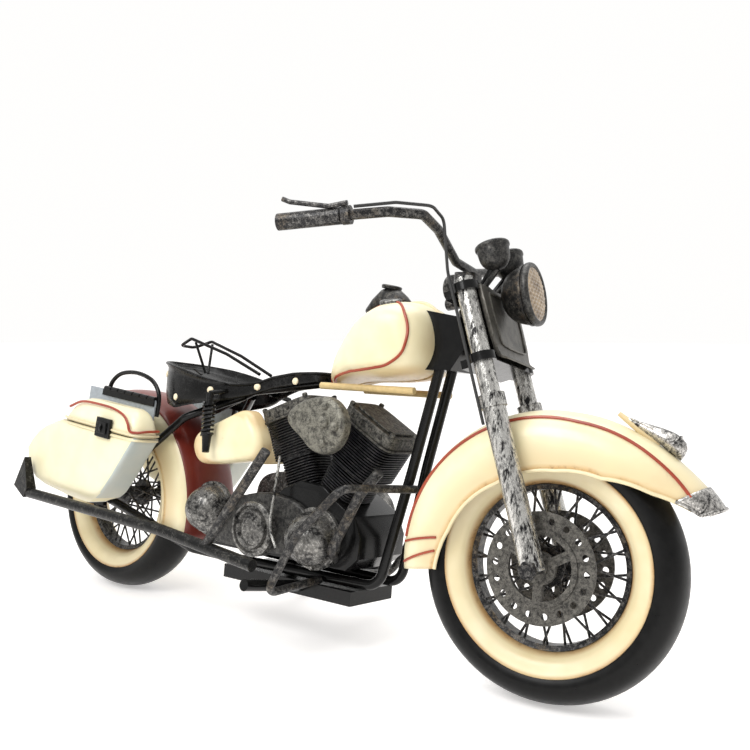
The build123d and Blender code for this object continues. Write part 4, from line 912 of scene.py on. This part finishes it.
def make_bag(name, side):
    """Shell, lid, beads, piping and latch of one bag; returns its hinge and handle."""
    where = bag_place(name, side)
    box, lid = (where, "frame"), (where, name + "_lid")
    half_w = 9
    rows = []
    levels = [-37.4, -36.9, -35.8, -33.5, -30, -25, -20, -15, -10, -6, -3, -0.2]
    for z in levels:
        rear, front = bag_span(z)
        under = smooth(z, -38.4, -33)
        w = half_w * (0.62 + 0.38 * under)
        swell = 0.9 * sin(pi * min(1, (z + 38) / 38))
        ring = squircle((front - rear) / 2 * (0.93 + 0.07 * under), w, 8, 64)
        row = []
        for x, y in ring:
            bulge = side * swell * (1 - (x / 45) ** 2) if y * side > 0 else 0
            row.append(Vector(((front + rear) / 2 + x, y + bulge, z)))
        rows.append(row)
    rows.insert(0, [Vector((p.x * 0.02 - 10, p.y * 0.02, levels[0])) for p in rows[0]])

    def shade(v):
        rear, front = bag_span(min(v.z, -0.3))
        rim = 1 - smooth(-v.z, 0, 2.4)
        ends = 1 - smooth(front - v.x, 0, 2)
        under = 1 - smooth(v.z, -37.5, -30)
        return max(0.5 * rim, 0.25 * ends, 0.25 * under)

    shell = add(name + "_bag_shell", skin(rows, caps=False), box, BAG_CREAM, [name + "_bag"],
        shade, wall=1, sharp=50)
    # painted shade: the bag's faces that look ahead get the grey-blue finish
    paint_front_shade(shell, where)

    lid_z = [(0.35, 1, 0), (2, 1, 0.1), (5, 0.985, 0.4), (8, 0.95, 1.2), (10.3, 0.88, 2.6), (12, 0.76, 4.8),
        (13.1, 0.56, 7.5), (13.5, 0.02, 9)]
    lid_rows = []
    for z, length, tuck in lid_z:
        slope = lerp([(0, 0), (8.7, 9), (13.5, 16)], z) * 0.5
        ring = squircle((30 - slope) * (1 if length > 0.5 else 0.03) * (0.6 + 0.4 * length),
            (8.55 - tuck * 0.45) * max(length, 0.02) ** 0.6, 5, 56)
        lid_rows.append([Vector((x + slope * 0.35, y + side * 0.35, z)) for x, y in ring])

    def lid_shade(v):
        """Brown at the seam and the top."""
        return max(0.65 * (1 - smooth(v.z, 0.3, 3)), 0.35 * smooth(v.z, 10, 13))

    add(name + "_lid_shell", skin(lid_rows, caps=False), lid, BAG_CREAM, [name + "_lid"],
        lid_shade, wall=TIN, sharp=50)

    def along_rim(z, out, half, start, end, radius):
        """Wire around the outer side of the rim."""
        ring = squircle(half, out, 5, 96)
        kept = [Vector((x, y, z)) for x, y in ring if y * side > -2 or x > half * 0.8]
        kept = [p for p in kept if start <= p.x <= end]
        kept.sort(key=lambda p: atan2(p.y * side + 1e-6, p.x))
        kept = [p for p in kept if p.y * side > -6.5]
        return tube(kept, radius, 8)

    bead = along_rim(-1, 9.3, 30, -29, 31, 0.62)
    add(name + "_rim_bead", bead, box, BAG_CREAM, shade=0.45)
    lid_bead = along_rim(1.5, 9.35, 30.2, -29, 31, 0.62)
    add(name + "_lid_bead", lid_bead, lid, BAG_CREAM, shade=0.5)
    arch = curve([(-23.5, side * 8.9, 7.4), (-15, side * 8.2, 11.2), (-2, side * 8, 11.9),
        (10, side * 8, 11.6), (19, side * 8.2, 9.8), (24, side * 8.8, 6.6), (26.6, side * 8.9, 3.2),
        (29.4, side * 7, 2.9), (30.3, side * 2, 3.6), (30.2, -side * 5.5, 4)], 5)
    add(name + "_lid_piping", tube(arch, 0.65, 8), lid, RED, shade=0.3)

    latch_y = side * 10.2
    parts = [slab((11, 1.6, 9.5), (8, latch_y, 1.6)), slab((7, 1.2, 5.6), (8, side * 11.2, 1.6))]
    parts.append(tube([(8, side * 11.6, 3.4), (8, side * 12.4, 1.6), (8, side * 11.6, -0.4)], 0.7, 8))
    add(name + "_latch_plate", merged(parts), lid, GLOSS, [name + "_latch"], bevel=0.4)

    flange_y = -side * 8.45
    add(name + "_back_plate", slab((54, 1.2, 20), (-6, flange_y, 8)), box, STEEL_BLUE,
        bevel=0.3)
    strip = []
    for i in range(7):
        x = -18 + 6 * i
        strip.append(tube([(x - 2.6, flange_y, HINGE_Z), (x + 2.6, flange_y, HINGE_Z)], 1.4, 12))
    strip.append(slab((42, 0.8, 3), (0, flange_y + side * 1, HINGE_Z - 2)))
    foot_x = 20.4
    handle_y = flange_y - side * 2.2
    arch = [(-foot_x, handle_y, 10), (-foot_x, handle_y, 17.5), (-foot_x * 0.9, handle_y, 23),
        (-foot_x * 0.58, handle_y, 27.6), (0, handle_y, 29.4), (foot_x * 0.58, handle_y, 27.6),
        (foot_x * 0.9, handle_y, 23), (foot_x, handle_y, 17.5), (foot_x, handle_y, 10)]
    strip.append(tube(curve(arch, 5), 1.1, 10))
    return strip, where


def make_bags():
    """Both saddlebags and the arms that carry them."""
    for name, side in (("right", -1), ("left", 1)):
        parts, where = make_bag(name, side)
        add(name + "_hinge_and_handle", merged(parts), (where, "frame"), GLOSS, ["bag_metalwork"])
    arms = []
    for side in SIDES:
        for x, z in ((-12, ZA + 36), (30, ZA + 32)):
            arms.append(tube([(x, side * 16, z), (x, side * 27.2, z)], 1.8, 10))
    add("bag_arm_bars", merged(arms), ON_BIKE, GLOSS)


make_bags()


# ---- lights and handlebar details


def make_lights():
    """Headlight and the two gauges."""
    tilt = radians(10)
    look = Vector((cos(tilt), 0, sin(tilt)))
    lens_at = leg(FORK_TOP) + Vector((22, 0, -1.5))
    shell = rounded([(11.9, -1), (12, -3.2), (11.4, -5.6), (9.6, -9.4), (6.2, -12.2), (2.4, -13.4),
        (0, -13.6)], 4)
    band = [(12, -3.4), (12.5, -3.2), (12.5, -2.4), (12, -2.2)]
    add("headlight_shell", merged([lathe(shell, lens_at, look), lathe(band, lens_at, look)]), ON_FORK, LAMP,
        ["headlight_bucket"])
    ring = rounded([(11, -1.4), (12.6, -1.8), (12.9, -0.4), (12.3, 0.7), (11.3, 0.8), (10.8, 0.2)], 3)
    add("headlight_bezel", lathe(ring + [ring[0]], lens_at, look), ON_FORK, GUNMETAL, ["headlight_rim"])
    u = look.orthogonal().normalized()
    v = look.cross(u)
    rows = []
    for r in np.linspace(0.02, 11.2, 34):
        row = []
        for k in range(96):
            a = tau * k / 96
            x, y = r * cos(a), r * sin(a)
            dome = 1.9 * sqrt(max(0, 1 - (r / 12) ** 2))
            waves = cos(tau * x / 2.2) + cos(tau * y / 2.2)
            ribs = 0.16 * waves * (1 - smooth(r, 9.8, 11))
            row.append(lens_at + look * (dome + ribs - 0.6) + u * x + v * y)
        rows.append(row)
    add("headlight_glass", skin(rows, caps=False), ON_FORK, LENS, ["headlight_lens"])

    cups, dials = [], []
    for side in SIDES:
        at = leg(FORK_TOP, 0, 6) + Vector((0, side * 8.2, 12.5))
        up = Vector((-0.35, 0, 1)).normalized()
        cups.append(lathe(rounded([(0, -8.4), (3.6, -7.4), (5.8, -4.6), (6.4, -1.2), (6.6, 0.4), (7, 0.9),
            (7, 2), (6.4, 2.6), (5.7, 2.4), (5.6, 1.7)], 4), at, up, 40))
        cups.append(tube([at - up * 8, leg(FORK_TOP - 3, 0, -1) + Vector((0, side * 6, 0))], 1.3, 10))
        dials.append(lathe([(5.7, 1.8), (0, 1.95)], at, up, 32))
        dials.append(lathe([(0.9, 2), (0.7, 2.6), (0, 2.7)], at, up, 16))
        for k in range(12):
            a = tau * k / 12
            spot = at + up * 2.1
            across = up.orthogonal().normalized()
            other = up.cross(across)
            way = across * cos(a) + other * sin(a)
            dials.append(tube([spot + way * 4.2, spot + way * 5.2], 0.16, 4))
    add("gauge_cups", merged(cups), ON_FORK, GUNMETAL, ["gauge_housings"])
    add("gauge_dials", merged(dials), ON_FORK, DIAL, ["gauge_faces"])


make_lights()


def make_shroud():
    """Folded tin panel between the fork legs: a slanting lower lip, raised sides and a pressed border."""
    along = Vector((cos(RAKE), 0, sin(RAKE)))
    middle = leg((79.5 + 108) / 2, 0, 5.4)
    up = Vector((-sin(RAKE), 0, cos(RAKE)))
    rows = []
    for h, half_width, out in ((15, 19.5, -0.6), (14.6, 20.6, 0.4), (8, 20.6, 0.5), (-6, 19.8, 0.5),
            (-12, 18.2, 0.4), (-14.2, 17.4, 0.9), (-15.4, 16.8, 2.6)):
        row = []
        for q in (-1, -0.985, -0.94, -0.8, -0.4, 0, 0.4, 0.8, 0.94, 0.985, 1):
            fold = -1.6 if abs(q) > 0.99 else (0 if abs(q) > 0.9 else 0.25)
            row.append(middle + up * h + along * (out + fold) + Vector((0, half_width * q, 0)))
        rows.append(row)
    corners = ((12, -12), (12, 12), (9, 15), (-6, 14.4), (-9.5, 11), (-9.5, -11), (-6, -14.4), (9, -15))
    border = [middle + up * h + along * 1 + Vector((0, w, 0)) for h, w in corners]
    parts = [skin(rows, ring=False, caps=False), tube(curve(border, 3, closed=True), 0.4, 6, closed=True)]
    add("fork_panel", merged(parts), ON_FORK, SHROUD, ["fork_shroud"], wall=0.7)


make_shroud()

# ---- finishes of the CAD nodes that stay
KEPT = {
    OLD_METAL: ("front_wire_wheel", "rear_wire_wheel", "front_hub", "rear_hub", "front_axle", "rear_axle",
                "handlebar", "grips", "hand_levers",
                "crash_bars", "headers", "side_stand", "mirror"),
    PIPE: ("exhaust_pipe",),
    DISC: ("brake_discs",),
    FORK_METAL: ("fork_sliders", "fork_tubes"),
    GLOSS: ("fork_yokes", "lamp_brackets", "steering_neck", "frame_tubes", "skid_plate", "saddle_rail",
            "stand_bracket"),
    MIRROR: ("mirror_glass",),
    HOSE: ("brake_hose",),
    TAN: ("tank_rods",),
}
for material, names in KEPT.items():
    for name in names:
        NODES[name].data.materials.clear()
        NODES[name].data.materials.append(material)


# ---- floor, lights, camera
def make_stage():
    """Pale floor under the lowest point."""
    data = bpy.data.meshes.new("floor")
    far = 12
    z = CAD_LOW.z - 0.0002
    data.from_pydata([(-far, -far, z), (far, -far, z), (far, far, z), (-far, far, z)], [], [(0, 1, 2, 3)])
    floor = placed("floor", data)
    f = Finish("pale_floor", Base_Color=rgb(0.90, 0.885, 0.87), Roughness=0.6, Specular_IOR_Level=0.15)
    f.put("Emission_Color", rgb(1.0, 0.98, 0.97)).put("Emission_Strength", 0.42)
    data.materials.append(f.mat)


def area(name, spot, target, size, power, colour=(1, 1, 1)):
    """Area lamp aimed at target."""
    light = bpy.data.lights.new(name, "AREA")
    light.size = size
    light.energy = power
    light.color = colour
    obj = placed(name, light)
    obj.location = BIKE @ Vector(spot)
    aim = (BIKE @ Vector(target)) - obj.location
    obj.rotation_mode = "QUATERNION"
    obj.rotation_quaternion = aim.to_track_quat("-Z", "Y")


def make_camera():
    """The camera that views the right side from ahead."""
    data = bpy.data.cameras.new("camera")
    data.sensor_width = 36
    data.lens = 36 * FOCAL_SHARE
    data.clip_start, data.clip_end = 0.01, 20
    obj = placed("camera", data)
    turn = BIKE.to_3x3() * (1 / MM)
    back = -(turn @ Vector(CAMERA_FORWARD)).normalized()
    up = turn @ Vector(CAMERA_UP)
    right = up.cross(back).normalized()
    up = back.cross(right)
    turn = Matrix((right, up, back)).transposed().to_4x4()
    obj.matrix_world = Matrix.Translation(BIKE @ Vector(CAMERA_EYE)) @ turn
    bpy.context.scene.camera = obj


make_stage()
area("key", (120, -460, 430), (130, 0, 60), 0.30, 2.4)
area("overhead", (160, 40, 620), (140, 0, 60), 0.45, 1.8)
make_camera()
world = bpy.data.worlds.new("studio")
world.use_nodes = True
tree = world.node_tree
background = tree.nodes["Background"]
toward = tree.nodes.new("ShaderNodeVectorMath")
toward.operation = "DOT_PRODUCT"
toward.inputs[1].default_value = (-0.60, 0.78, 0.18)
spread = tree.nodes.new("ShaderNodeMapRange")
spread.inputs["From Min"].default_value, spread.inputs["From Max"].default_value = -0.35, 0.55
spread.inputs["To Min"].default_value, spread.inputs["To Max"].default_value = 0.62, 1
tree.links.new(tree.nodes.new("ShaderNodeTexCoord").outputs["Generated"],
    toward.inputs[0])
tree.links.new(toward.outputs["Value"], spread.inputs["Value"])
tree.links.new(spread.outputs["Result"], background.inputs["Strength"])
background.inputs["Color"].default_value = rgb(1.0, 0.995, 0.985)
bpy.context.scene.world = world
bpy.context.scene.view_settings.view_transform = "Standard"
